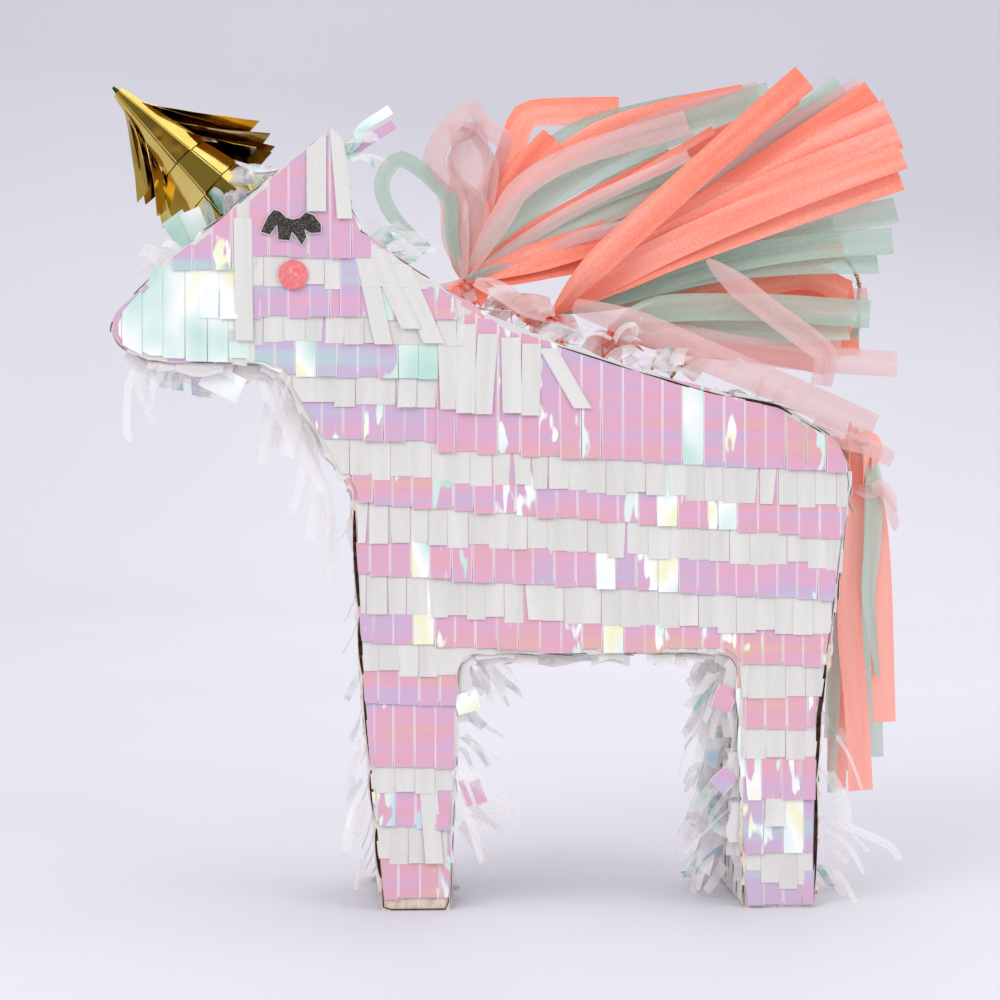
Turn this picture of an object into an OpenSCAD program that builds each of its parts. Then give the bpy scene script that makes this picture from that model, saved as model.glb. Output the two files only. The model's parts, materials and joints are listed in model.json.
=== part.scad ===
// Mini unicorn pinata: a hollow card body standing on two wide feet, covered in rows of fringe,
// with a foil-fringed horn, tissue tassels for mane and tail, a filling hatch in the belly and a
// hanging loop. The body is drawn as a side profile in X (nose to rump) and Z (up), and has its
// thickness along Y. The origin is on the floor, under the middle of the whole object.

/* [Body] */
// Height from the floor to the ear tip
body_height = 130.5; // [122:0.5:140]
// Thickness across both side panels
body_thickness = 38; // [34:1:42]
// Thickness of the card of the side panels
panel_card = 1.0; // [0.8:0.1:1.4]
// Thickness of the card of the edge strips and soles
gusset_card = 0.8; // [0.6:0.1:1.0]

/* [Fringe] */
// Height of one visible row of fringe
row_height = 5.1; // [4:0.1:6]
// Thickness of a fringe layer on the card
fringe_thickness = 0.5; // [0.4:0.1:0.6]
// Bare card left between the rim of a panel and its fringe
fringe_margin = 0.5; // [0.3:0.1:1]

/* [Filling hatch] */
// Length of the hatch flap along the belly
hatch_length = 28; // [22:1:30]
// Width of the hatch flap across the belly
hatch_width = 26; // [18:1:28]
// Gap round the flap
hatch_gap = 0.4; // [0.3:0.1:0.6]
// Diameter of the round paper seal on the flap's free edge
seal_diameter = 11; // [8:1:13]

/* [Horn] */
// Length of the horn along its axis
horn_length = 31; // [26:1:34]
// Radius of the horn's card cone where it meets the forehead
horn_radius = 6.6; // [5:0.1:7.5]
// Angle of the horn's axis above the horizontal
horn_angle = 44.5; // [38:0.5:48]

/* [Mane and tail] */
// Reach of the highest streamers of the mane above the neck
mane_reach = 36; // [30:1:40]
// Depth of the fan of streamers at its tips
mane_depth = 24; // [12:1:26]
// Length of the tail below its pivot
tail_length = 60; // [50:1:66]

/* [Hanging loop] */
// Diameter of the metallic thread
cord_diameter = 0.8; // [0.6:0.1:1]

/* [Hidden] */

card_colour = [0.86, 0.78, 0.70];
film_colour = [0.90, 0.68, 0.82];
tissue_colour = [0.90, 0.89, 0.87];
foil_colour = [0.78, 0.62, 0.22];
coral_colour = [0.97, 0.55, 0.46];
blush_colour = [0.87, 0.72, 0.71];
glitter_colour = [0.08, 0.07, 0.07];

half = body_thickness / 2;
profile_height = 130.5;           // height of the profile as its points are given
profile_scale = body_height / profile_height;
round_fn = 40;

// ---- Profile: one run of points per edge strip, clockwise from the nose, X to the rump, Z up ----
function arc(centre, r, from, to, steps) =
  [for (i = [0:steps]) let (a = from + (to - from) * i / steps) centre + r * [cos(a), sin(a)]];

belly_z = 43;
belly_corner = 3.5;
nose = [-60.5, 97.2];
crown_run = concat(arc(nose, 3.7, 200, 128, 4), [[-56.7, 106.8]]);
nape_run = [[-27.9, 130.5], [-26.2, 128.6], [-25.3, 118.2], [-23.3, 113.4], [-17.7, 109.3], [-9.3, 103.7]];
back_run = [[1.7, 97.2], [17.3, 92.2], [33.3, 87.3], [46.8, 84.5]];
rump_run = concat(arc([47.9, 71.2], 11, 64, 0, 6), [[57.3, 58], [55.5, 44], [53.6, 32]]);
hind_sole_run = [[53, 0]];
hind_leg_run = [[41.3, 0], [40.2, 30]];
belly_run = arc([36.5, belly_z - belly_corner], belly_corner, 0, 90, 5);
fore_leg_run = concat(arc([-3.5, belly_z - belly_corner], belly_corner, 90, 180, 5), [[-7.5, 25.3]]);
fore_sole_run = [[-8.5, 0]];
chest_run = [[-19.7, 0], [-22.9, 35.5], [-24.7, 70.3]];
jaw_run = concat([[-36.3, 90.2], [-39.7, 91.4], [-58.3, 91.9]], arc(nose, 3.7, 250, 215, 2));

runs = [crown_run, nape_run, back_run, rump_run, hind_sole_run, hind_leg_run, belly_run,
        fore_leg_run, fore_sole_run, chest_run, jaw_run];
CROWN = 0;
NAPE = 1;
BACK = 2;
RUMP = 3;
HIND_SOLE = 4;
HIND_LEG = 5;
BELLY = 6;
FORE_LEG = 7;
FORE_SOLE = 8;
CHEST = 9;
JAW = 10;

function run_start(i) = i == 0 ? 0 : run_start(i - 1) + len(runs[i - 1]);
profile_raw = [for (run = runs) for (p = run) p * profile_scale];

// Where the horn's axis meets the forehead
forehead = [-43.6, 117.6] * profile_scale;
// The origin is within a millimetre of the middle of the whole object's reach along X
origin_x = 1.5637 * profile_scale;
// How far back the mane reaches, before the shift by origin_x
mane_reach_x = 70.3 * profile_scale;
profile = [for (p = profile_raw) p - [origin_x, 0]];

function unit(v) = v / norm(v);
function inward(a, b) = let (d = unit(b - a)) [d[1], -d[0]];
function mitre(a, b, c, d) =
  let (n1 = inward(a, b), n2 = inward(b, c)) b + (n1 + n2) * d / (1 + n1 * n2);
function inset(points, d) = let (n = len(points))
  [for (i = [0:n - 1]) mitre(points[(i + n - 1) % n], points[i], points[(i + 1) % n], d)];

// Points of an edge strip between two depths below the profile
function strip(i, outer, inner) = let (
    n = len(profile),
    first = run_start(i),
    last = first + len(runs[i]),
    o = inset(profile, outer),
    q = inset(profile, inner)
  ) concat([for (j = [first:last]) o[j % n]], [for (j = [last:-1:first]) q[j % n]]);

// Extrudes a shape drawn in X and Z along Y, from y to y + depth
module along_y(y, depth) {
  translate([0, y + depth, 0]) rotate([90, 0, 0]) linear_extrude(depth) children();
}

module rod(p, r, width) {
  translate([p[0], 0, p[1]]) rotate([90, 0, 0]) cylinder(r = r, h = width, center = true, $fn = 24);
}

// ---- Card body ----
module panel(y) {
  color(card_colour) along_y(y, panel_card) polygon(inset(profile, gusset_card));
}

module gusset(i) {
  color(card_colour) along_y(-half, body_thickness) polygon(strip(i, 0, gusset_card));
}

// ---- Filling hatch: a flap in the belly that folds down on its rear crease ----
hatch_rear = 30.5 * profile_scale - origin_x;
hatch_front = hatch_rear - hatch_length;
hatch_pivot = [hatch_rear + hatch_gap / 2, belly_z * profile_scale - fringe_thickness];

module hatch_hole(z, height) {
  translate([hatch_front - hatch_gap, -hatch_width / 2 - hatch_gap, z])
    cube([hatch_length + 2 * hatch_gap, hatch_width + 2 * hatch_gap, height]);
}

module belly_gusset() {
  difference() {
    gusset(BELLY);
    hatch_hole(belly_z * profile_scale - 1, gusset_card + 2);
  }
}

module hatch_plate(z, height) {
  translate([hatch_front, -hatch_width / 2, z]) cube([hatch_length, hatch_width, height]);
}

module hatch_flap() {
  color(card_colour) hatch_plate(belly_z * profile_scale, gusset_card);
}

module hatch_fringe() {
  color(tissue_colour) hatch_plate(belly_z * profile_scale - fringe_thickness, fringe_thickness);
}

// A thin roll of tape in the crease, which the flap turns about
module hatch_hinge_tape() {
  tape_radius = 0.15;
  color(tissue_colour) translate([hatch_pivot[0], 0, hatch_pivot[1]]) rotate([90, 0, 0])
    cylinder(r = tape_radius, h = hatch_width, center = true, $fn = round_fn);
}

module hatch_seal() {
  seal_card = 0.2;
  color("white") translate([hatch_front, 0, belly_z * profile_scale - fringe_thickness - seal_card])
    cylinder(d = seal_diameter, h = seal_card, $fn = round_fn);
}

// ---- Fringe: rows on both side panels, and strips over the edge strips ----
module fringe_rows(y, first_row, colour) {
  row_gap = 0.2;
  color(colour) along_y(y, fringe_thickness) intersection() {
    polygon(inset(profile, gusset_card + fringe_margin));
    for (z = [first_row * row_height:2 * row_height:body_height])
      translate([-100, z]) square([200, row_height - row_gap]);
  }
}

module film_fringe(y) fringe_rows(y, 0, film_colour);
module tissue_fringe(y) fringe_rows(y, 1, tissue_colour);

edge_fringe_width = body_thickness - 2;
floor_clearance = 1.5;

module edge_fringe(i) {
  color(tissue_colour) intersection() {
    along_y(-edge_fringe_width / 2, edge_fringe_width) polygon(strip(i, -fringe_thickness, 0));
    translate([-100, -half, floor_clearance]) cube([200, body_thickness, body_height]);
  }
}

module belly_fringe() {
  difference() {
    edge_fringe(BELLY);
    hatch_hole(belly_z * profile_scale - 1, 2);
  }
}

// ---- Face, the same on both sides ----
eye = [-34.7, 114] * profile_scale - [origin_x, 0];
cheek = [-34.4, 106.1] * profile_scale - [origin_x, 0];
cheek_radius = 2.45;
sticker_card = 0.4;
lash_outline = [
  [-5, -0.8], [-3.5, -1.3], [-2.3, 0.4], [-2.1, -2.1], [-0.3, -2.2], [0.1, -0.8], [0.7, -1.4],
  [1.7, -3], [2.5, -1.7], [2.2, -0.4], [3.3, -1], [4.9, -0.9], [4.9, 0.4], [3.8, 1.9], [2.4, 2.4],
  [1.5, 1.5], [0.3, 1.2], [-0.8, 1.5], [-1.8, 2.5], [-2.9, 2.8], [-3.9, 1.5]
];

module lash(y) {
  color(glitter_colour) along_y(y, sticker_card) translate(eye) polygon(lash_outline);
}

module cheek(y) {
  color(coral_colour) translate([cheek[0], y + sticker_card, cheek[1]]) rotate([90, 0, 0])
    cylinder(r = cheek_radius, h = sticker_card, $fn = round_fn);
}

// ---- Horn: a card cone on the forehead, wrapped in three tiers of foil fringe ----
horn_card = 0.5;
foil_thickness = 0.5;

// Turns a shape made along +Z onto the horn's axis, with its base on the forehead
module on_horn() {
  difference() {
    translate([forehead[0] - origin_x, 0, forehead[1]]) rotate([0, horn_angle - 90, 0]) children();
    along_y(-half, body_thickness) polygon(profile);
  }
}

module cone_shell(r_base, r_top, height, card) {
  difference() {
    cylinder(r1 = r_base, r2 = r_top, h = height, $fn = round_fn);
    translate([0, 0, -0.01])
      cylinder(r1 = r_base - card, r2 = max(r_top - card, 0.01), h = height - 2 * card, $fn = round_fn);
  }
}

horn_root = -4;                   // the cone runs on into the forehead and is trimmed there
horn_tip_radius = 0.25;
function cone_radius(z) = horn_tip_radius + (horn_radius - horn_tip_radius) * (horn_length - z) / horn_length;

module horn_cone() {
  color(card_colour) on_horn() translate([0, 0, horn_root])
    cone_shell(cone_radius(horn_root), horn_tip_radius, horn_length - horn_root, horn_card);
}

// One tier of foil lies on the cone from z to z + height, as a ring of even thickness
module foil_tier(z, height) {
  clear = 0.05;
  color(foil_colour) on_horn() rotate_extrude($fn = round_fn) polygon([
    [cone_radius(z) + clear, z], [cone_radius(z) + clear + foil_thickness, z],
    [cone_radius(z + height) + clear + foil_thickness, z + height],
    [cone_radius(z + height) + clear, z + height]
  ]);
}

// ---- Mane: tassels of streamers, each held in a binding that stands on the neck or back ----
binding_radius = 1.8;
throat_height = 1;                // the twisted throat between a binding and its streamers
throat_disc = 0.4;

poll_pinch = [-5.1, 105.5] * profile_scale - [origin_x, 0];
withers_pinch = [10.5, 100] * profile_scale - [origin_x, 0];
back_pinch = [20.5, 97] * profile_scale - [origin_x, 0];
function fan_tips(pinch, angles, reach) =
  [for (i = [0:len(angles) - 1]) pinch + reach[i] * [cos(angles[i]), sin(angles[i])]];
tip_radius = 1;
poll_tips = fan_tips(poll_pinch, [110, 72, 34], [mane_reach - 4, mane_reach, 58]);
withers_tips = fan_tips(withers_pinch, [36, 25, 15], [60, 62, 58]);
back_tips = [[mane_reach_x - tip_radius, 106], [mane_reach_x - tip_radius, 91]] * profile_scale
  - [[origin_x, 0], [origin_x, 0]];

module binding(pinch) {
  height = 12;
  color(coral_colour) difference() {
    translate([pinch[0], 0, pinch[1] - height]) cylinder(r = binding_radius, h = height, $fn = round_fn);
    along_y(-half, body_thickness) polygon(inset(profile, -fringe_thickness));
  }
}

module tassel(pinch, tips, colour) {
  color(colour) translate([pinch[0], 0, pinch[1]]) {
    cylinder(r = binding_radius, h = throat_height + throat_disc, $fn = 24);
    hull() {
      translate([0, 0, throat_height]) cylinder(r = binding_radius, h = throat_disc, $fn = 24);
      for (p = tips) rod(p - pinch, tip_radius, mane_depth);
    }
  }
}

// ---- Tail: a tassel on a knot that swings at the end of its binding ----
tail_pivot = [62.2, 77.5] * profile_scale - [origin_x, 0];
tail_pivot_radius = 1.6;
tail_slack = 0.3;
tail_width = 20;
tail_tips = [[60.2 * profile_scale - origin_x, tail_pivot[1] - tail_length],
             [67.2 * profile_scale - origin_x, tail_pivot[1] - tail_length]];

module tail_binding() {
  length = 8;
  end_x = tail_pivot[0] - tail_pivot_radius - tail_slack;
  color(coral_colour) difference() {
    translate([end_x - length, 0, tail_pivot[1]]) rotate([0, 90, 0])
      cylinder(r = binding_radius, h = length, $fn = round_fn);
    along_y(-half, body_thickness) polygon(inset(profile, -fringe_thickness));
  }
}

tail_knot_width = 4;

module tail_knot() {
  color(coral_colour) rod(tail_pivot, tail_pivot_radius, tail_knot_width);
}

module tail_tassel() {
  color(coral_colour) difference() {
    hull() {
      rod(tail_pivot - [0, 1], tail_pivot_radius, tail_knot_width);
      for (p = tail_tips) rod(p, tip_radius, tail_width);
    }
    rod(tail_pivot, tail_pivot_radius, tail_knot_width + 1);
  }
}

// ---- Hanging loop of thread, lying behind the mane, with its two ends knotted inside the back ----
// Route of the thread's middle: X and Z before the profile's scale, Y across
loop_route = [
  [28, 6, 87], [28, 6, 89], [28.3, 6.3, 91.5], [29.5, 8, 94], [32, 10.5, 97], [35.5, 13, 100],
  [40, 15, 103], [44.5, 16, 105.5], [49, 16.5, 107.8], [53.5, 17, 109.8], [58, 17, 111.3],
  [61.5, 17, 112], [64.5, 17, 111.2], [66.3, 16.8, 108.8], [67, 16.5, 106], [66.6, 16.5, 103],
  [66.9, 16.3, 100], [66, 16, 97], [64, 15.8, 95.2], [61, 15.6, 94.6], [57, 15.5, 94.8],
  [52.5, 15.5, 95.2], [48, 15.5, 95.4], [44, 15.4, 95], [40, 14.8, 94.2], [36.5, 13.6, 93],
  [33.8, 12, 91.6], [32.3, 10.4, 90.2], [31.8, 9.6, 88.6], [31.8, 9.6, 86.5]
];
loop_points = [for (p = loop_route) [p[0] * profile_scale - origin_x, p[1], p[2] * profile_scale]];
loop_steps = 2;                   // rings for each stretch of the route
cord_sides = 8;

// Catmull-Rom point between the second and third of four points
function smooth_point(a, b, c, d, t) =
  0.5 * (2 * b + (c - a) * t + (2 * a - 5 * b + 4 * c - d) * t * t + (3 * b - a - 3 * c + d) * t * t * t);
function smooth(points, steps) = let (n = len(points)) concat(
  [for (i = [0:n - 2]) for (j = [0:steps - 1])
    smooth_point(points[max(i - 1, 0)], points[i], points[i + 1], points[min(i + 2, n - 1)], j / steps)],
  [points[n - 1]]);

function tangent(path, i) = unit(path[min(i + 1, len(path) - 1)] - path[max(i - 1, 0)]);
function carried(side, t) = unit(side - t * (side * t));
// Side directions of the rings, each carried on from the one before so that the tube doesn't twist
function frames(path, i, side) = i == len(path) ? []
  : let (s = carried(side, tangent(path, i))) concat([s], frames(path, i + 1, s));

module tube(path, r, sides) {
  side = frames(path, 0, [0, 1, 0]);
  n = len(path);
  rings = [for (i = [0:n - 1]) let (t = tangent(path, i), u = side[i], v = cross(t, u))
    for (j = [0:sides - 1]) let (a = 360 * j / sides) path[i] + r * (cos(a) * u + sin(a) * v)];
  walls = [for (i = [0:n - 2]) for (j = [0:sides - 1]) let (b = i * sides, m = (j + 1) % sides)
    each [[b + j, b + sides + m, b + m], [b + j, b + sides + j, b + sides + m]]];
  caps = [for (j = [1:sides - 2]) each [[0, j, j + 1],
    [(n - 1) * sides, (n - 1) * sides + j + 1, (n - 1) * sides + j]]];
  polyhedron(points = rings, faces = concat(walls, caps));
}

module hanging_loop() {
  color(foil_colour) tube(smooth(loop_points, loop_steps), cord_diameter / 2, cord_sides);
}

thread_hole_radius = 0.6;

module thread_holes() {
  for (p = [loop_points[0], loop_points[len(loop_points) - 1]])
    translate([p[0], p[1], p[2] - 2]) cylinder(r = thread_hole_radius, h = 9, $fn = 24);
}

module loop_knots() {
  knot_radius = 1.3;
  knot_bite = 0.02;               // the knot stops just short of the thread's end
  color(foil_colour) for (p = [loop_points[0], loop_points[len(loop_points) - 1]])
    translate([p[0], p[1], p[2] - knot_radius - knot_bite]) sphere(r = knot_radius, $fn = 24);
}

module back_gusset() {
  difference() {
    gusset(BACK);
    thread_holes();
  }
}

module back_fringe() {
  difference() {
    edge_fringe(BACK);
    thread_holes();
  }
}

// ---- Fillings: wrapped sweets, three in each hollow leg ----
sweet_radius = 4.4;
sweet_length = 14;
twist_length = 7;
twist_radius = 3.4;

module sweet() {
  waist = 0.9;
  rotate([90, 0, 0]) rotate_extrude($fn = round_fn) polygon([
    [0, -sweet_length / 2 - twist_length], [twist_radius, -sweet_length / 2 - twist_length],
    [waist, -sweet_length / 2 - 1], [sweet_radius - 1, -sweet_length / 2 + 0.4],
    [sweet_radius, -sweet_length / 2 + 2], [sweet_radius, sweet_length / 2 - 2],
    [sweet_radius - 1, sweet_length / 2 - 0.4], [waist, sweet_length / 2 + 1],
    [twist_radius, sweet_length / 2 + twist_length], [0, sweet_length / 2 + twist_length]
  ]);
}

module wrapped_sweets() {
  stack_gap = 0.1;
  legs = [[-14.3, -0.06], [47.2, 0.01]];  // X of each stack's foot, and its lean with height
  color(film_colour) for (leg = legs) for (i = [0:2])
    let (z = gusset_card + sweet_radius + stack_gap + i * (2 * sweet_radius + stack_gap))
      translate([leg[0] * profile_scale - origin_x + leg[1] * z, 0, z]) sweet();
}

panel(-half);  // front_panel
panel(half - panel_card);  // rear_panel
gusset(CROWN);  // crown_gusset
gusset(NAPE);  // nape_gusset
back_gusset();
gusset(RUMP);  // rump_gusset
gusset(HIND_SOLE);  // hind_sole
gusset(HIND_LEG);  // hind_leg_gusset
belly_gusset();
gusset(FORE_LEG);  // fore_leg_gusset
gusset(FORE_SOLE);  // fore_sole
gusset(CHEST);  // chest_gusset
gusset(JAW);  // jaw_gusset
hatch_flap();
hatch_fringe();
hatch_seal();
hatch_hinge_tape();
film_fringe(-half - fringe_thickness);  // front_film_fringe
tissue_fringe(-half - fringe_thickness);  // front_tissue_fringe
film_fringe(half);  // rear_film_fringe
tissue_fringe(half);  // rear_tissue_fringe
edge_fringe(NAPE);  // nape_fringe
back_fringe();
edge_fringe(RUMP);  // rump_fringe
edge_fringe(HIND_LEG);  // hind_leg_fringe
belly_fringe();
edge_fringe(FORE_LEG);  // fore_leg_fringe
edge_fringe(CHEST);  // chest_fringe
edge_fringe(JAW);  // jaw_fringe
lash(-half - fringe_thickness - sticker_card);  // front_lash
lash(half + fringe_thickness);  // rear_lash
cheek(-half - fringe_thickness - sticker_card);  // front_cheek
cheek(half + fringe_thickness);  // rear_cheek
horn_cone();
foil_tier(0, 7);  // horn_foil_lower
foil_tier(7.2, 7);  // horn_foil_middle
foil_tier(14.4, 8);  // horn_foil_upper
binding(poll_pinch);  // poll_binding
tassel(poll_pinch, poll_tips, coral_colour);  // poll_tassel
binding(withers_pinch);  // withers_binding
tassel(withers_pinch, withers_tips, coral_colour);  // withers_tassel
binding(back_pinch);  // back_binding
tassel(back_pinch, back_tips, blush_colour);  // back_tassel
tail_binding();
tail_knot();
tail_tassel();
hanging_loop();
loop_knots();
wrapped_sweets();
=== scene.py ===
"""The looks of a miniature unicorn pinata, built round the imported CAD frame.

Lengths and places are in millimetres in the row frame (X from nose to tail, Y across the body with
the near side negative, Z up) until a mesh is made, and in metres from there on.
"""

import json
import math
import random

import bmesh
import bpy
import numpy as np
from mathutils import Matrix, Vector


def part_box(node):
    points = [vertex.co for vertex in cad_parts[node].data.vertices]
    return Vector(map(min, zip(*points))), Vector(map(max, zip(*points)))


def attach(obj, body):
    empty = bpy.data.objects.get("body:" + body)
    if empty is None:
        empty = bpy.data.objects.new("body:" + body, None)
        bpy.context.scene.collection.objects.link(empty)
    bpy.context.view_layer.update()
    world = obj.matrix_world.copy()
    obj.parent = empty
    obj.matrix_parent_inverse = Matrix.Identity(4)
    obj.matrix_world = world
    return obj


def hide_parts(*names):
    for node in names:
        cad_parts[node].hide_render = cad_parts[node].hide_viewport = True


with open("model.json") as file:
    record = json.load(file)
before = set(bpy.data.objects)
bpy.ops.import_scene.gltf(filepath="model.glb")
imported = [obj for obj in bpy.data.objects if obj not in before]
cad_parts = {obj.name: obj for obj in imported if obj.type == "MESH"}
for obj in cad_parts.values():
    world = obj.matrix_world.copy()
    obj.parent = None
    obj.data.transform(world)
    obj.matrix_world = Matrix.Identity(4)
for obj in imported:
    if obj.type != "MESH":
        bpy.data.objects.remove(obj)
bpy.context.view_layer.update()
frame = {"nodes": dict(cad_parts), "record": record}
NODES = frame["nodes"]
MM = 0.001
NEAR, FAR = -1, 1


def add_object(name, data):
    made = bpy.data.objects.new(name, data)
    bpy.context.scene.collection.objects.link(made)
    return made


# ---- Camera and lights ----

CAMERA_AT = (-25.2, -469, 80.2)
CAMERA_AIM = (-1.6, -19, 68.7)
LENS = 97.2
SENSOR = 36
LIGHTS_AIM = (0, 0, 0.07)
# Name, place and size in metres, power, colour
LIGHTS = [
    ("key", (-0.55, -0.75, 0.75), (0.7, 0.6), 4.2, (1, 0.985, 0.97)),
    ("fill", (0.75, -0.7, 0.4), (0.7, 0.7), 2.6, (0.96, 0.98, 1)),
    ("top", (0.05, 0.1, 1.0), (0.8, 0.8), 2.4, (1, 1, 1)),
    ("back", (0.2, 0.9, 0.6), (0.7, 0.4), 2.0, (1, 1, 1)),
]


def turn_to(thing, place, aim):
    """Put a camera or light in its place and turn it to its aim, both in metres."""
    thing.location = place
    thing.rotation_euler = (Vector(aim) - Vector(place)).to_track_quat("-Z", "Y").to_euler()


def make_camera():
    data = bpy.data.cameras.new("camera")
    data.lens = LENS
    data.sensor_width = SENSOR
    data.clip_start = 0.01
    data.clip_end = 20
    camera = add_object("camera", data)
    turn_to(camera, Vector(CAMERA_AT) * MM, Vector(CAMERA_AIM) * MM)
    bpy.context.scene.camera = camera


def make_lights():
    for name, place, size, power, colour in LIGHTS:
        data = bpy.data.lights.new(name, "AREA")
        data.shape = "RECTANGLE"
        data.size, data.size_y = size
        data.energy = power
        data.color = colour
        turn_to(add_object(name, data), place, LIGHTS_AIM)
    world = bpy.data.worlds.new("studio")
    world.use_nodes = True
    background = world.node_tree.nodes["Background"]
    background.inputs["Color"].default_value = (0.86, 0.87, 0.90, 1)
    background.inputs["Strength"].default_value = 0.68
    bpy.context.scene.world = world
    bpy.context.scene.view_settings.view_transform = "Standard"


# ---- Node helpers ----

def srgb(*colour):
    """A display colour from 0 to 255 as linear light, with full alpha."""
    shares = [c / 255 for c in colour]
    return *(s / 12.92 if s <= 0.04045 else ((s + 0.055) / 1.055) ** 2.4 for s in shares), 1


def lighter(colour, share):
    return tuple(c + (1 - c) * share for c in colour[:3]) + (1,)


class Material:
    """A Principled material and short calls to add the nodes that feed it. A colour of three numbers
    is a display colour, and one of four is linear light."""

    def __init__(self, name, **values):
        self.made = bpy.data.materials.new(name)
        self.made.use_nodes = True
        self.tree = self.made.node_tree
        self.shader = self.tree.nodes["Principled BSDF"]
        for key, value in values.items():
            self.feed(key.replace("_", " "), value)

    def fill(self, socket, value):
        """Give a socket its value, or the output of another node."""
        if isinstance(value, bpy.types.NodeSocket):
            self.tree.links.new(value, socket)
        else:
            socket.default_value = value

    def feed(self, name, value):
        self.fill(self.shader.inputs[name], value)

    def add(self, kind, inputs, **settings):
        node = self.tree.nodes.new(kind)
        for key, value in settings.items():
            setattr(node, key, value)
        for key, value in inputs.items():
            self.fill(node.inputs[key], value)
        return node.outputs

    def place(self, scale=1, attribute=None):
        """Object coordinates, or a stored vector, times scale."""
        if attribute:
            source = self.add("ShaderNodeAttribute", {}, attribute_name=attribute)["Vector"]
        else:
            source = self.add("ShaderNodeTexCoord", {})["Object"]
        scale = scale if isinstance(scale, tuple) else (scale, scale, scale)
        return self.add("ShaderNodeMapping", {"Vector": source, "Scale": scale})["Vector"]

    def noise(self, scale, detail=2, roughness=0.5, distortion=0, attribute=None):
        return self.add("ShaderNodeTexNoise", {
            "Vector": self.place(scale, attribute), "Scale": 1, "Detail": detail, "Roughness": roughness,
            "Distortion": distortion})["Fac"]

    def wave(self, direction, scale, distortion):
        return self.add("ShaderNodeTexWave", {
            "Vector": self.place(), "Scale": scale, "Distortion": distortion},
            wave_type="BANDS", bands_direction=direction)["Fac"]

    def ramp(self, factor, *stops):
        """The colour at a factor between stops, each one a position and a colour."""
        node = self.tree.nodes.new("ShaderNodeValToRGB")
        elements = node.color_ramp.elements
        while len(elements) < len(stops):
            elements.new(1)
        for element, (position, colour) in zip(elements, stops):
            element.position = position
            element.color = srgb(*colour) if len(colour) == 3 else colour
        self.fill(node.inputs["Fac"], factor)
        return node.outputs["Color"]

    def colour(self, factor, *stops):
        self.feed("Base Color", self.ramp(factor, *stops))

    def mask(self, factor, low, high, top=1):
        """0 up to a factor of low, rising to top at high."""
        return self.ramp(factor, (low, (0, 0, 0, 1)), (high, (top, top, top, 1)))

    def mix(self, factor, first, second):
        return self.add("ShaderNodeMix", {0: factor, 6: first, 7: second}, data_type="RGBA")[2]

    def maths(self, operation, *values):
        return self.add("ShaderNodeMath", dict(enumerate(values)), operation=operation)[0]

    def varied(self, level, by, amount):
        """A level that rises and falls by half the amount as by goes from 0 to 1."""
        return self.maths("ADD", level, self.maths("MULTIPLY_ADD", by, amount, -amount / 2))

    def tint(self, index):
        colour = self.add("ShaderNodeAttribute", {}, attribute_name="tint")["Color"]
        return self.add("ShaderNodeSeparateColor", {"Color": colour})[index]

    def bump(self, height, strength, distance):
        self.feed("Normal", self.add("ShaderNodeBump", {
            "Height": height, "Strength": strength, "Distance": distance})["Normal"])


# ---- Materials ----

def plain_material(name, grain, *stops, bump=None, **values):
    """A colour that follows one grain: its scale, detail and roughness. Bump is a strength and depth."""
    m = Material(name, **values)
    level = m.noise(*grain)
    m.colour(level, *stops)
    if bump:
        m.bump(level, *bump)
    return m.made


def film_material():
    """Iridescent film: soft bands from salmon through pink and lilac to blue, with a painted highlight
    along the cut edges. Tint holds a shift, how much of the finger shows a painted reflection in white,
    mint or pale yellow, and the share of the way across."""
    m = Material("iridescent_film", Roughness=0.22, Coat_Weight=0.3, Coat_Roughness=0.1)
    level = m.noise((10, 10, 170), 2, 0.45, 0.25)
    level = m.varied(level, m.noise((22, 22, 430), 1, 0.5, 0.15), 0.55)
    level = m.varied(level, m.noise(30, 1), 0.5)
    level = m.varied(level, m.tint(0), 0.15)
    colour = m.ramp(
        level, (0.24, (231, 179, 174)), (0.36, (228, 170, 188)), (0.47, (226, 173, 200)),
        (0.56, (215, 175, 206)), (0.65, (203, 181, 212)), (0.75, (197, 195, 214)), (0.86, (188, 208, 213)))
    # Painted highlight: a pale line along each cut edge, where the film's edge catches the light
    from_middle = m.maths("ABSOLUTE", m.maths("SUBTRACT", m.tint(2), 0.5))
    colour = m.mix(m.mask(from_middle, 0.462, 0.476, 0.8), colour, srgb(255, 240, 244))
    # Painted reflection: white, mint and pale yellow where the film mirrors the light, in patches that grow
    # with each finger's glint
    bright = m.ramp(
        m.noise((80, 80, 50)), (0.34, (190, 226, 214)), (0.44, (226, 243, 237)), (0.52, (255, 255, 255)),
        (0.59, (246, 246, 200)), (0.64, (240, 246, 240)), (0.70, (200, 220, 236)))
    mirrored = m.maths("ADD", m.noise((300, 300, 95), 2, 0.55, 0.3), m.tint(1))
    m.feed("Base Color", m.mix(m.mask(mirrored, 0.97, 1), colour, bright))
    m.bump(m.noise((320, 320, 140), 3), 0.35, 0.0005)
    return m.made


def tissue_material(name, colour, deep_and_fold_shade, alpha, glow):
    """Tissue paper: mottled fine grain, with painted shade and painted light of soft creases along the
    strip. The small emission is the light that comes through the sheet."""
    m = Material(name, Roughness=0.8, Alpha=alpha, Specular_IOR_Level=0.2, Emission_Color=colour,
                 Emission_Strength=glow)
    grain = m.noise((3.2, 2.4, 1), 3, 0.65, attribute="place")
    # Painted fold shade: long soft streaks along the strip, darker and lighter where creases turn from the
    # light
    painted_fold_shade = m.noise((0.55, 0.035, 1), 2, 0.4, attribute="place")
    level = m.maths("ADD", m.maths("MULTIPLY", grain, 0.45), m.maths("MULTIPLY", painted_fold_shade, 0.55))
    level = m.varied(level, m.tint(0), 0.2)
    m.colour(level, (0.32, deep_and_fold_shade), (0.50, colour), (0.70, lighter(colour, 0.22)))
    m.bump(grain, 0.15, 0.0002)
    return m.made


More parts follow.
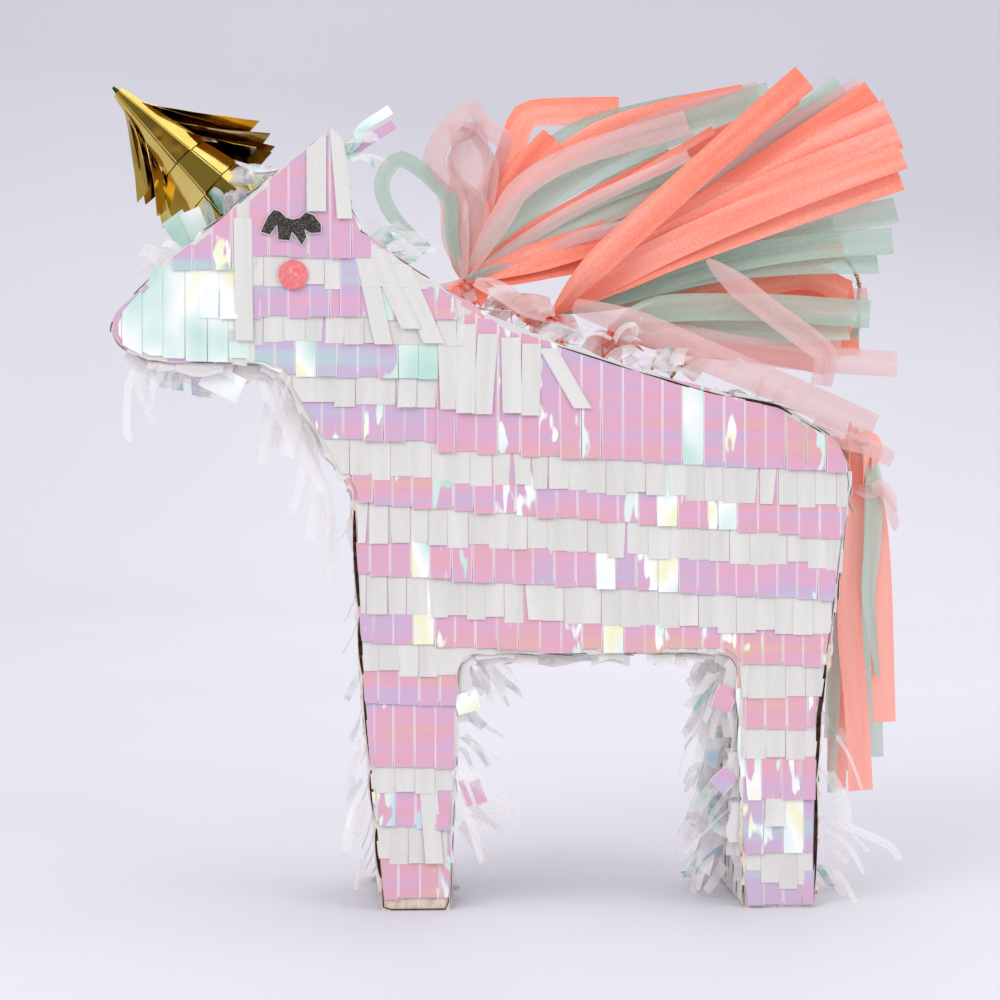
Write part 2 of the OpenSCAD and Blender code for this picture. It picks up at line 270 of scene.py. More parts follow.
def clear_film_material():
    """Clear crumpled film with painted reflections of mint, blue and white here and there."""
    m = Material("clear_film", Roughness=0.15, Alpha=0.42, Coat_Weight=0.5, Coat_Roughness=0.08)
    # Painted reflection: mint, white, lilac and blue patches where the film catches the light
    m.colour(m.noise(190, 2, 0.5, 0.5), (0.34, (150, 214, 200)), (0.43, (226, 244, 240)),
             (0.52, (250, 250, 250)), (0.60, (214, 206, 222)), (0.68, (170, 200, 226)))
    m.bump(m.noise(420), 0.6, 0.0006)
    return m.made


def card_material():
    """Pale greyboard with short fibres and faint stains."""
    m = Material("card", Roughness=0.86, Specular_IOR_Level=0.25)
    fibres = m.noise((1500, 1500, 700), 3, 0.6)
    base = m.ramp(fibres, (0.32, (206, 182, 164)), (0.5, (232, 215, 202)), (0.7, (242, 230, 220)))
    m.feed("Base Color", m.mix(m.maths("MULTIPLY", m.noise(60, 3), 0.35), base, srgb(214, 190, 184)))
    m.bump(fibres, 0.3, 0.0002)
    return m.made


def foil_material():
    """Gold foil: flat mirrored fingers, faintly creased, with painted reflections that make each one dark,
    mid or bright gold.
    """
    m = Material("gold_foil", Metallic=1, Roughness=0.13)
    # Painted reflection: each finger's tone, from dark olive to bright gold, stands for what its facet
    # mirrors
    m.colour(m.varied(m.tint(0), m.noise(120), 0.5), (0.14, (60, 51, 17)), (0.32, (118, 76, 20)),
             (0.50, (158, 114, 34)), (0.75, (198, 164, 72)), (1, (224, 200, 120)))
    m.bump(m.noise(150, 2, 0.45, 0.3), 0.22, 0.0007)
    return m.made


def glitter_material():
    """Black glitter card: flakes of many angles, a few of them painted bright as glints."""
    m = Material("black_glitter", Roughness=0.45)
    cells = m.add("ShaderNodeTexVoronoi", {"Vector": m.place(), "Scale": 5200})["Color"]
    split = m.add("ShaderNodeSeparateColor", {"Color": cells})
    # Painted glints: the brightest cells stand for flakes that catch the light
    m.colour(split[0], (0, (22, 18, 18)), (0.72, (52, 44, 42)), (0.92, (116, 104, 98)))
    m.bump(split[1], 0.8, 0.0002)
    return m.made


def coral_paper_material():
    """Coral paper with a grain and a few pale specks."""
    m = Material("coral_paper", Roughness=0.8, Specular_IOR_Level=0.2)
    grain = m.noise(1400, 3, 0.6)
    base = m.ramp(grain, (0.3, (232, 116, 120)), (0.55, (241, 132, 133)), (0.75, (248, 160, 155)))
    specks = m.mask(m.noise(1500, 1), 0.60, 0.66, 0.4)
    m.feed("Base Color", m.mix(specks, base, srgb(250, 184, 172)))
    m.bump(grain, 0.3, 0.0002)
    return m.made


def wrapper_material():
    """Waxed sweet paper in soft stripes round the sweet."""
    m = Material("sweet_wrapper", Roughness=0.3, Coat_Weight=0.4)
    m.colour(m.wave("Y", 90, 1.5), (0.4, (240, 150, 160)), (0.6, (250, 240, 236)))
    return m.made


def twisted_tissue_material():
    """Coral and blush tissue twisted into a tie."""
    m = Material("twisted_tissue", Roughness=0.8, Specular_IOR_Level=0.2)
    turns = m.wave("DIAGONAL", 320, 2.5)
    m.colour(turns, (0.2, CORAL[1]), (0.55, CORAL[0]), (0.9, BLUSH[0]))
    m.bump(turns, 0.5, 0.0003)
    return m.made


# Tissue colours: the sheet, and its deeper tone, which both the grain and the painted fold shade reach
CORAL = (srgb(251, 148, 126), srgb(243, 124, 102))
MINT = (srgb(178, 200, 186), srgb(156, 182, 168))
BLUSH = (srgb(228, 190, 188), srgb(214, 172, 172))
WHITE_TISSUE = (srgb(226, 223, 219), srgb(218, 215, 211))
PALE_TISSUE = (srgb(237, 233, 234), srgb(226, 221, 222))

film = film_material()
clear_film = clear_film_material()
foil = foil_material()
card = card_material()
white_tissue = tissue_material("white_tissue", *WHITE_TISSUE, 0.95, 0.03)
wispy_tissue = tissue_material("wispy_tissue", *PALE_TISSUE, 0.3, 0.17)
veil_tissue = tissue_material("veil_tissue", *PALE_TISSUE, 0.6, 0.07)
STREAMER = {
    "coral": tissue_material("coral_tissue", *CORAL, 1, 0.04),
    "mint": tissue_material("mint_tissue", *MINT, 0.52, 0.1),
    "blush": tissue_material("blush_tissue", *BLUSH, 0.40, 0.12),
}
seam_shadow = plain_material(
    "seam_shadow", ((400, 400, 900), 3), (0.35, (34, 20, 16)), (0.6, (74, 50, 40)),
    Roughness=0.95, Specular_IOR_Level=0.1)
white_paper = plain_material(
    "white_paper", (900, 3), (0.35, (226, 224, 220)), (0.65, (244, 243, 240)), bump=(0.2, 0.0001),
    Roughness=0.7)
gold_thread = plain_material(
    "gold_thread", (2600,), (0.36, (110, 78, 44)), (0.52, (196, 156, 96)), (0.68, (246, 226, 178)),
    Metallic=0.9, Roughness=0.32)
floor_paint = plain_material(
    "floor", (3,), (0.3, (226, 224, 232)), (0.7, (232, 231, 238)), Roughness=0.7, Specular_IOR_Level=0.2)


# ---- Geometry helpers ----

def unit(vectors):
    return vectors / np.linalg.norm(vectors, axis=-1, keepdims=True)


def travelled(points):
    """How far along a line each of its points is."""
    return np.concatenate([[0], np.cumsum(np.linalg.norm(np.diff(points, axis=0), axis=1))])


def smooth_path(points, count):
    """count points evenly spaced along a smooth curve through the given ones."""
    p = np.asarray(points, float)
    padded = np.vstack([2 * p[0] - p[1], p, 2 * p[-1] - p[-2]])
    fine = []
    for a, b, c, d in zip(padded, padded[1:], padded[2:], padded[3:]):
        for t in np.linspace(0, 1, 12, endpoint=False):
            fine.append(0.5 * (2 * b + (c - a) * t + (2 * a - 5 * b + 4 * c - d) * t**2
                               + (3 * b - a - 3 * c + d) * t**3))
    fine = np.array(fine + [p[-1]])
    reach = travelled(fine)
    even = np.linspace(0, reach[-1], count)
    return np.column_stack([np.interp(even, reach, fine[:, i]) for i in range(3)])


def zones_at(zones, x, z):
    """What each zone that holds (x, z) says, after its x from and to and its z from and to."""
    return [rest for x0, x1, z0, z1, *rest in zones if x0 < x < x1 and z0 < z < z1]


# ---- Strips: the paper, film and foil pieces are all thin strips ----

LOWEST = 0.15
SHARP_ANGLE = 0.7
# How far apart strips lie in the tissue's grain, so no two look alike
GRAIN_STEP = 7.3


class Strips:
    """Thin closed strips collected into one mesh.

    The stored tint is a random shift, a glint and the share of the way across, from 0 to 1. The
    stored place is how far across and along its strip a point lies, in millimetres, and a number of
    the strip's own.
    """

    def __init__(self, name, material, slot, thickness=0.05, body="body"):
        self.name, self.material, self.slot, self.body = name, material, slot, body
        self.half = thickness / 2
        self.points, self.faces, self.tints, self.places = [], [], [], []
        self.count = 0

    def add(self, lines, shift=0.5, glint=0):
        """A strip through two or more lines of points, side by side, each with the same number."""
        lines = np.array(lines, float)
        lines[..., 2] = np.maximum(lines[..., 2], LOWEST)
        wide, long = lines.shape[:2]
        normal = np.cross(np.gradient(lines, axis=0), np.gradient(lines, axis=1))
        normal /= np.maximum(np.linalg.norm(normal, axis=2, keepdims=True), 1e-9)
        around = np.concatenate([lines + normal * self.half, (lines - normal * self.half)[::-1]])
        ring = 2 * wide
        base = len(self.points)
        self.points.extend(around.transpose(1, 0, 2).reshape(-1, 3))
        for a in range(base, base + (long - 1) * ring, ring):
            for j in range(ring):
                k = (j + 1) % ring
                self.faces.append((a + j, a + k, a + ring + k, a + ring + j))
        end = base + (long - 1) * ring
        for near in range(wide - 1):
            far = ring - 1 - near
            self.faces.append((base + near, base + far, base + far - 1, base + near + 1))
            self.faces.append((end + near, end + near + 1, end + far - 1, end + far))
        width = np.linalg.norm(lines[-1] - lines[0], axis=1)
        share = np.concatenate([np.linspace(-0.5, 0.5, wide), np.linspace(0.5, -0.5, wide)])
        for across, along in zip(width, travelled(lines.mean(axis=0))):
            self.places.extend((s * across, along, self.count * GRAIN_STEP) for s in share)
        self.tints.extend([(shift, glint, s + 0.5, 1) for s in share] * long)
        self.count += 1

    def build(self, *replaced):
        mesh = bpy.data.meshes.new(self.name)
        mesh.from_pydata(np.array(self.points) * MM, [], self.faces)
        tints = mesh.color_attributes.new("tint", "FLOAT_COLOR", "POINT")
        tints.data.foreach_set("color", np.array(self.tints, np.float32).ravel())
        places = mesh.attributes.new("place", "FLOAT_VECTOR", "POINT")
        places.data.foreach_set("vector", np.array(self.places, np.float32).ravel())
        tidy = bmesh.new()
        tidy.from_mesh(mesh)
        bmesh.ops.recalc_face_normals(tidy, faces=tidy.faces)
        tidy.to_mesh(mesh)
        tidy.free()
        smooth(mesh)
        mesh.set_sharp_from_angle(angle=SHARP_ANGLE)
        return place_piece(self.name, mesh, self.material, self.slot, self.body, replaced)


def smooth(mesh):
    mesh.polygons.foreach_set("use_smooth", np.ones(len(mesh.polygons), bool))


def place_piece(name, mesh, material, slot, body="body", replaced=()):
    piece = add_object(name, mesh)
    mesh.materials.append(material)
    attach(piece, body)
    if replaced:
        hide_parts(*replaced)
    return piece


# ---- The panel's outline, read from the CAD mesh ----

def panel_outline(node):
    """The outline of a flat node as (x, z) points in order, from the near face of its mesh."""
    mesh = NODES[node].data
    corners = [tuple(round(c / MM, 3) for c in v.co) for v in mesh.vertices]
    face_y = min(c[1] for c in corners)
    edges = {}
    for polygon in mesh.polygons:
        loop = [corners[i] for i in polygon.vertices]
        if any(abs(c[1] - face_y) > 0.01 for c in loop):
            continue
        for a, b in zip(loop, loop[1:] + loop[:1]):
            edges[(a[0], a[2]), (b[0], b[2])] = True
    follows = {a: b for a, b in edges if (b, a) not in edges}
    start = min(follows)
    outline = [start]
    while follows[outline[-1]] != start:
        outline.append(follows[outline[-1]])
    outline = np.array(outline)
    area = np.sum(outline[:, 0] * np.roll(outline[:, 1], -1) - np.roll(outline[:, 0], -1) * outline[:, 1])
    return outline[::-1] if area > 0 else outline


def outward(points):
    """Left of each step between points, which is outwards where they run clockwise."""
    return np.column_stack([-points[:, 1], points[:, 0]])


def grow(outline, distance):
    """The outline moved outwards."""
    n1 = unit(outward(outline - np.roll(outline, 1, axis=0)))
    n2 = unit(outward(np.roll(outline, -1, axis=0) - outline))
    return outline + (n1 + n2) * distance / (1 + np.sum(n1 * n2, axis=1, keepdims=True))


def cut(outline, x, low, high):
    """The part of low to high that lies inside the outline at x, or None."""
    a, b = outline, np.roll(outline, -1, axis=0)
    crossing = (a[:, 0] > x) != (b[:, 0] > x)
    a, b = a[crossing], b[crossing]
    heights = sorted(a[:, 1] + (b[:, 1] - a[:, 1]) * (x - a[:, 0]) / (b[:, 0] - a[:, 0]))
    inside = [(max(low, a), min(high, b)) for a, b in zip(heights[::2], heights[1::2])]
    inside = [s for s in inside if s[1] - s[0] > 0.5]
    return max(inside, key=lambda s: s[1] - s[0]) if inside else None


class Rim:
    """An outline as one line: where it is and which way is out, by length."""

    def __init__(self, outline):
        self.line = np.vstack([outline, outline[:1]])
        self.reach = travelled(self.line)
        self.length = self.reach[-1]

    def at(self, s):
        s = np.asarray(s) % self.length
        return np.column_stack([np.interp(s, self.reach, self.line[:, i]) for i in range(2)])

    def out(self, s):
        s = np.asarray(s)
        return unit(outward(self.at(s + 0.6) - self.at(s - 0.6)))


PANEL = panel_outline("front_panel")
PANEL_RIM = Rim(PANEL)
# Half the body's thickness
HALF = -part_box("front_panel")[0].y / MM
# The outside of the edge strips, which stand past the panels by the thickness of their card
CARD_EDGE = 0.8
RIM = Rim(grow(PANEL, CARD_EDGE))
# Fingers on the side panels are trimmed along one of these
FRINGE_EDGES = [grow(PANEL, d) for d in (0.75, 0.6, 0.35, 0)]


# ---- Fringe on the side panels ----

# Each row hangs from its glue line: kind, x from and to, z of its lower ends there, finger length,
# and the share of its fingers that mirror the light, or -1 for none at all. Rows are listed from
# the feet up.
SIDE_ROWS = [
    # Hind leg
    ("film", 37, 57, 0.4, 0.4, 9, 0.05), ("tissue", 37, 57, 3.7, 3.7, 8, 0),
    ("film", 37, 57, 9.3, 9.2, 12, 0.1), ("film", 37, 57, 18.4, 18, 10, 0.05),
    ("tissue", 37, 57, 25.4, 25, 9, 0), ("film", 37, 57, 30.3, 30, 9, 0.25),
    ("tissue", 37, 57, 35.4, 35, 9, 0),
    # Fore leg
    ("film", -25, -8, 1.8, 2.2, 9, 0.05), ("tissue", -25, -8, 8.6, 7.8, 9, 0),
    ("film", -25, -8, 14.6, 13.2, 9, 0.05), ("tissue", -25, -8, 20, 19.6, 8, 0),
    ("film", -25, -8, 24.4, 23.8, 13, 0), ("film", -25, -8, 34.9, 34.3, 8, 0.1),
    ("tissue", -25, -8, 40, 39.4, 8, 0),
    # Torso
    ("film", -26, 58, 45.2, 40, 9, 0.12), ("tissue", -26, 58, 50, 45.6, 9, 0),
    ("film", -26, 58, 56.4, 51.4, 9, 0.12), ("tissue", -26, 58, 62, 57.2, 9, 0),
    ("film", -26, 58, 68.2, 62, 9, 0.1), ("tissue", -32, 58, 73.2, 67.2, 9, 0),
    ("underlay", -12, 58, 77.4, 74.2, 26, 0), ("film", -34, -12, 79, 78.4, 9, 0.1),
    ("film", -12, 58, 76.9, 73.2, 26, 0.1),
    # Neck and head
    ("tissue", -38, -10, 84.9, 84.3, 9, 0), ("film", -42, -9, 89.6, 88.8, 9, 0.08),
    ("tissue", -47, -9, 95, 94.6, 9, 0), ("film", -67, -44, 90.5, 90.5, 17, 1),
    ("film", -43, -9, 99.3, 98.6, 9, 0.2), ("film", -50.4, -44, 98.7, 98.9, 9, 0.9),
    ("tissue", -43, -9, 104.3, 103.6, 9, 0), ("film", -56, -43, 106.5, 107, 12, 0.1),
    ("underlay", -44, -25, 110, 110, 18, 0), ("film", -42.6, -25, 109.1, 109, 24, -1),
]
FINGER_WIDTH = 3.3
FILM_GAP = 0.11
TISSUE_GAP = 0.03
# A film finger starts this far above its row, under the row over it
FILM_TUCK = 2.5
# The narrow tissue behind each cut between two film fingers
BACKING_WIDTH = 1.6
# How far a finger's top is off the panel beyond the usual, and how much farther its lower end is
FILM_LIFT = (-0.04, 0.32)
BACKING_LIFT = (-0.07, 0.29)
UNDERLAY_CURL = -0.18
# What the tips of fingers lift by, and the glints of film that doesn't mirror the light: the higher
# they are, the larger its bright patches
FILM_CURLS = (0, 0.05, 0.1, 0.4)
TISSUE_CURLS = (0, 0.06, 0.2)
DULL_GLINTS = (0, 0, 0.3, 0.38, 0.43)
MIRROR_GLINTS = (0.6, 1)
# The share of tissue fingers that part from their neighbours
PARTED_SHARE = 0.16


def side_finger(strips, rng, side, x, width, low, high, curl, sway=0, taper=0, glint=0, layer=0,
                slope=0.2, outline=None):
    """A finger on a side panel, glued at its top and trimmed where it would pass the outline. It
    stands off the panel by layer, by slope more at its low end, and its tip lifts by curl."""
    outline = rng.choice(FRINGE_EDGES) if outline is None else outline
    tries = [(e, cut(outline, x + e * width, low, high)) for e in np.linspace(-0.5, 0.5, 17)]
    kept = [t for t in tries if t[1]]
    if len(kept) < 3:
        return
    whole = len(kept) == len(tries) and all(t[1] == kept[0][1] for t in kept)
    lines = []
    down = np.linspace(0, 1, 7)
    for edge, (bottom, top) in ((kept[0], kept[-1]) if whole else kept):
        z = top + (bottom - top) * down
        hang = (high - z) / (high - low)
        out = 0.06 + layer + slope * hang + curl * hang**5
        across = x + edge * width * (1 - taper * hang) + sway * hang
        lines.append(np.column_stack([across, side * (HALF + out), z]))
    strips.add(lines, rng.random(), glint)


def film_finger(strips, rng, side, x, width, low, length, glint):
    """A film finger and the tissue that shows in the cut beside it."""
    shine = rng.uniform(*MIRROR_GLINTS) if rng.random() < glint else rng.choice(DULL_GLINTS)
    side_finger(strips["film"], rng, side, x, width, low + rng.uniform(-0.25, 0.25),
                low + length + FILM_TUCK, rng.choice(FILM_CURLS), rng.uniform(-0.1, 0.1), 0.01,
                0 if glint < 0 else shine, *FILM_LIFT)
    side_finger(strips["tissue"], rng, side, x + width / 2, BACKING_WIDTH, low + 0.5, low + length,
                0, 0, 0, 0, *BACKING_LIFT)


def tissue_finger(strips, rng, side, x, width, low, length):
    """A tissue finger. A parted one is narrower below and leans away from its neighbours."""
    parted = rng.random() < PARTED_SHARE
    side_finger(strips["tissue"], rng, side, x, width, low + rng.uniform(-0.55, 0.55), low + length,
                rng.choice(TISSUE_CURLS), rng.uniform(-0.6, 0.6) if parted else rng.uniform(-0.08, 0.08),
                rng.uniform(0.12, 0.3) if parted else 0)


def side_row(strips, rng, side, kind, x_from, x_to, z_from, z_to, length, glint):
    """One row of fingers, cut side by side from a strip of film or tissue."""
    x = x_from + rng.uniform(-1.5, 0)
    while x < x_to:
        width = FINGER_WIDTH * rng.uniform(0.92, 1.08)
        x += width / 2
        low = z_from + (z_to - z_from) * (x - x_from) / (x_to - x_from)
        if kind == "film":
            film_finger(strips, rng, side, x, width, low, length, glint)
            x += width / 2 + FILM_GAP
        elif kind == "tissue":
            tissue_finger(strips, rng, side, x, width, low, length)
            x += width / 2 + TISSUE_GAP
        else:
            side_finger(strips["tissue"], rng, side, x, width, low, low + length, UNDERLAY_CURL)
            x += width / 2


# Long white strips that hang over the near side: top x and z, bottom x and z, width
NEAR_STRIPS = [
    (-44.3, 115.5, -44, 95.2, 3), (-32.1, 130, -32.1, 116.6, 3.3), (-28.6, 130.5, -27.4, 115.4, 2.6),
    (-24.6, 111.5, -21, 94.6, 3.1), (-22.4, 110.5, -16.4, 97.2, 3.4), (-18.4, 108, -12.6, 94.8, 3.6),
    (-10.6, 100, -10, 83.8, 3.2), (-7.2, 98, -7.4, 83.2, 3.2), (-3.6, 96.4, -4.6, 83, 3.4),
    (0.2, 95.8, 0.4, 83.2, 3.3), (3.7, 94.8, 3.4, 82.8, 3.2), (6.4, 94, 12.2, 84, 3.1),
    (-16.8, 92, -17.2, 84.2, 3), (44.8, 19, 44.6, 13.8, 3.3), (-13.6, 20.5, -12.6, 8, 3),
]


def make_side_fringe(side, prefix):
    rng = random.Random(11 if side == NEAR else 23)
    strips = {
        "film": Strips(prefix + "_film_fingers", film, "iridescent_film"),
        "tissue": Strips(prefix + "_tissue_fingers", white_tissue, "white_tissue", 0.04),
    }
    for row in SIDE_ROWS:
        side_row(strips, rng, side, *row)
    if side == NEAR:
        for top_x, top_z, low_x, low_z, width in NEAR_STRIPS:
            side_finger(strips["tissue"], rng, NEAR, top_x, width, low_z, top_z, rng.uniform(0.2, 0.6),
                        low_x - top_x, 0.03, layer=0.26, outline=FRINGE_EDGES[0])
        # The long film finger behind the cheek
        side_finger(strips["film"], rng, NEAR, -26.6, 3.2, 99.2, 112, 0.1, layer=0.22)
    for kind in strips:
        strips[kind].build(f"{prefix}_{kind}_fringe")


# ---- Fringe over the edge strips ----

# Fingers side by side on the edge strips, the step from row to row, and the margin at each side
EDGE_FINGERS = 11
EDGE_ROW = 4.6
EDGE_MARGIN = 0.3
# Their shortest and longest lengths, the least near the floor, and the shares that are film or wild
EDGE_LENGTHS = (5.5, 8.5)
EDGE_SHORTEST = 2.5
EDGE_FILM_SHARE = 0.16
WILD_SHARE = 0.05
HATCH_LOW, HATCH_HIGH = (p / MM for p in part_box("hatch_flap"))
# Heights between which fringe over the hatch would lie
BELLY = (35, 46)
FLOOR_GAP = 0.5
# No fringe starts lower than this on the edge strips
FRINGE_LOW = 1.2


def on_hatch(points, margin=0.7):
    """True if any point lies over the hatch flap."""
    x, y, z = points.T
    return bool(np.any((x > HATCH_LOW.x - margin) & (x < HATCH_HIGH.x + margin)
                       & (np.abs(y) < HATCH_HIGH.y + margin) & (z > BELLY[0]) & (z < BELLY[1])))


def in_hatch_sweep(points, clear=1.2):
    """True if any point lies where the flap swings down."""
    x, y, z = points.T
    reach = np.hypot(x - HATCH_HIGH.x, z - HATCH_HIGH.z)
    return bool(np.any((reach < HATCH_HIGH.x - HATCH_LOW.x + clear) & (x < HATCH_HIGH.x + 2 * clear)
                       & (np.abs(y) < HATCH_HIGH.y + clear) & (z < HATCH_HIGH.z)))


def rim_finger(strips, rng, s, y, width, run, length, curl, sway, glint):
    """A finger that starts at s on the rim and follows it for length, lifting off by curl."""
    t = np.linspace(0, 1, 8)
    where = s + run * length * t
    lift = 0.08 + 0.2 * t + curl * t**2
    x, z = (RIM.at(where) + RIM.out(where) * lift[:, None]).T
    z = np.maximum(z, FLOOR_GAP)
    lines = [np.column_stack([x, y + edge * width + sway * t**2, z]) for edge in (-0.5, 0.5)]
    if not on_hatch(np.vstack(lines)):
        strips.add(lines, rng.random(), glint)


def downhill(s):
    """+1 or -1: the way along the rim that a finger at s hangs."""
    a, b = RIM.at([s - 2, s + 2])
    if abs(a[1] - b[1]) < 0.7:
        return 1 if b[0] > a[0] else -1
    return 1 if b[1] < a[1] else -1


def make_rim_fringe():
    rng = random.Random(31)
    tissue = Strips("edge_tissue_fingers", white_tissue, "white_tissue", 0.06)
    shiny = Strips("edge_film_fingers", film, "iridescent_film")
    width = 2 * (HALF - EDGE_MARGIN) / EDGE_FINGERS
    for s in np.arange(0, RIM.length, EDGE_ROW):
        height, up = RIM.at([s])[0][1], RIM.out([s])[0][1]
        if height < FRINGE_LOW:
            continue
        run = downhill(s)
        for i in range(EDGE_FINGERS):
            y = -HALF + EDGE_MARGIN + width * (i + 0.5)
            length = rng.uniform(*EDGE_LENGTHS)
            if height - length < 1 and up > -0.5:
                length = max(EDGE_SHORTEST, height - FRINGE_LOW)
            wild = rng.random() < WILD_SHARE
            curl = rng.uniform(1, 3) if wild else rng.uniform(0, 0.4)
            strips = shiny if rng.random() < EDGE_FILM_SHARE else tissue
            glint = rng.choice((0, 0, 0.9)) if strips is shiny else 0
            rim_finger(strips, rng, s, y, width * rng.uniform(0.88, 0.98), run, length, curl,
                       rng.uniform(-0.6, 0.6), glint)
    tissue.build("nape_fringe", "back_fringe", "rump_fringe", "hind_leg_fringe", "belly_fringe",
                 "fore_leg_fringe", "chest_fringe", "jaw_fringe")
    shiny.build()


def make_hatch_fringe(across=8, margin=0.1):
    """Rows of tissue on the flap, which hang from its rear crease towards its free edge."""
    rng = random.Random(37)
    tissue = Strips("hatch_tissue_fingers", white_tissue, "white_tissue", 0.06, "hatch")
    width = (HATCH_HIGH.y - HATCH_LOW.y) / across
    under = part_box("hatch_fringe")[1].z / MM
    t = np.linspace(0, 1, 7)
    for x in np.arange(HATCH_HIGH.x - 1, HATCH_LOW.x + 3, -EDGE_ROW):
        for i in range(across):
            length = min(rng.uniform(6, 8), x - HATCH_LOW.x - margin)
            y = HATCH_LOW.y + width * (i + 0.5)
            z = under - 0.05 - 0.28 * t - rng.uniform(0, 0.25) * t**2
            lines = [np.column_stack([x - length * t, y + e * width * 0.94 + 0 * t, z]) for e in (-0.5, 0.5)]
            tissue.add(lines, rng.random())
    tissue.build("hatch_fringe")


# ---- Loose tatters of tissue and film at the edges ----

def tatter(strips, rng, start, direction, length, width, droop=0.35, wave=0.8):
    """A narrow free strip that leaves start in a direction, waves a little and droops."""
    d = np.array(direction, float)
    d /= np.linalg.norm(d)
    sideways = np.cross(d, [rng.uniform(-1, 1) for _ in range(3)])
    sideways /= np.linalg.norm(sideways)
    t = np.linspace(0, 1, 9)[:, None]
    phase = rng.uniform(0, 6)
    centre = np.array(start) + d * length * t + sideways * wave * np.sin(3.2 * t + phase) * t
    centre = centre - np.array((0, 0, 1)) * droop * length * t**2
    centre[:, 2] = np.maximum(centre[:, 2], FLOOR_GAP)
    turn = rng.uniform(0, math.pi)
    side = math.cos(turn) * sideways + math.sin(turn) * np.cross(d, sideways)
    half = width / 2 * (1 - 0.25 * t)
    shift, glint = rng.random(), rng.choice((0, 0.9))
    if not in_hatch_sweep(centre):
        strips.add([centre - side * half, centre + side * half], shift, glint)


# Where tatters gather: how many, the middle of the patch, its half size, the way they point, their
# shortest and longest length, and their widest width
TATTER_PATCHES = [
    (40, (37.2, 0, 24), (0.6, 17, 20), (-0.9, -0.3, -0.7), (4, 9), 2.6),
    (34, (37.2, -6, 26), (0.4, 11, 16), (-0.7, -0.5, -0.8), (6, 10), 6),
    (14, (36.5, -8, 40), (2.5, 10, 2), (-0.8, -0.4, -0.5), (4, 8), 4),
    (16, (-7, -6, 26), (0.6, 13, 14), (0.9, -0.3, -0.5), (3, 8), 3),
    (9, (-3.5, -12, 41), (2.5, 6, 1.5), (0.7, -0.4, -0.5), (4, 7), 3.6),
    (10, (-25, -6, 28), (0.4, 13, 22), (-0.5, -0.2, -0.9), (3, 6), 2),
    (16, (-36, -9, 86), (5, 10, 3), (-0.1, -0.3, -1), (5, 9), 3.4),
    (16, (-52, -8, 91.4), (9, 11, 0.5), (-0.1, -0.4, -1), (2.5, 4), 6.5),
    (10, (-57, -4, 107), (4, 14, 3), (-0.7, -0.3, 0.4), (3, 5), 4),
    (14, (-21, -8, 112), (3, 10, 2), (0.5, -0.5, 0.4), (4, 8), 3.6),
    (26, (6, -10, 96), (20, 9, 1.2), (0.4, -0.5, 0.5), (3, 7), 4),
    (12, (40, -9, 86), (10, 9, 1.2), (0.4, -0.5, 0.5), (3, 6), 3.2),
    (16, (27, -9, 91), (10, 9, 1.2), (0.5, -0.4, 0.45), (3, 7), 3.8),
    (12, (55.6, -4, 20), (0.8, 14, 16), (0.8, -0.3, -0.7), (5, 9), 2.2),
    (8, (-46, 0, 117), (5, 14, 3), (-0.5, -0.3, 0.7), (3, 6), 3.2),
    (6, (-27, -14, 127), (1.5, 5, 2), (0.9, -0.4, 0.5), (4, 8), 3.2),
]

# Long thin strands of tissue: width, then the points they pass
STRANDS = [
    (1.3, (-62, -17, 91.5), (-63.4, -18, 87), (-63.6, -18, 80), (-62.8, -18, 79)),
    (1.2, (-61.4, -17, 91.5), (-61.6, -18, 87.5), (-60.4, -18, 84), (-57.8, -18, 79.6)),
    (1, (-60.6, -16, 91.5), (-59.4, -17, 88), (-59.6, -17, 84.6), (-60.6, -17, 83)),
    (1.6, (-42, -16, 89.6), (-38.6, -18, 83), (-33.8, -18.6, 76), (-31.2, -18.6, 70)),
    (2, (-40, -12, 89), (-36, -14, 80), (-32.4, -14, 72), (-33.4, -14, 62)),
    (1.8, (-37, -15, 86), (-33.4, -16, 76), (-30, -16, 68), (-30.4, -16, 58)),
    (2.4, (-34, -8, 83), (-32.4, -9, 72), (-29.6, -9, 62), (-29.8, -9, 54)),
    (1.4, (-36, -17, 84), (-34.4, -18, 76), (-35.6, -18, 69), (-36.4, -18, 66.4)),
    (1.4, (54.8, -15, 14), (59.4, -17, 12.4), (64.4, -18, 10), (66.2, -18, 7.6)),
    (1, (54.8, -12, 12), (58.6, -13, 9), (61, -13, 4.6)),
    (2, (54.8, -14, 22), (57.2, -15, 17), (57.6, -15, 12.4)),
    (2.6, (-24.6, -14, 18), (-26.4, -15, 14), (-27.4, -15, 9.4)),
    (2, (-24.6, -12, 26), (-26.6, -13, 22), (-26.2, -13, 17)),
    (3, (-8.2, -16, 42.4), (-4.6, -18, 42.8), (-2.2, -18.6, 40.4), (-2, -18.6, 36.4), (-4.2, -18.4, 33.2)),
    (3.4, (-9, -19.2, 24.2), (-4.6, -19.4, 20.6), (1.4, -19.2, 15.4)),
    (1.4, (-8.4, -19, 19.4), (-6.2, -19.2, 13.6), (-4.6, -19, 8)),
]

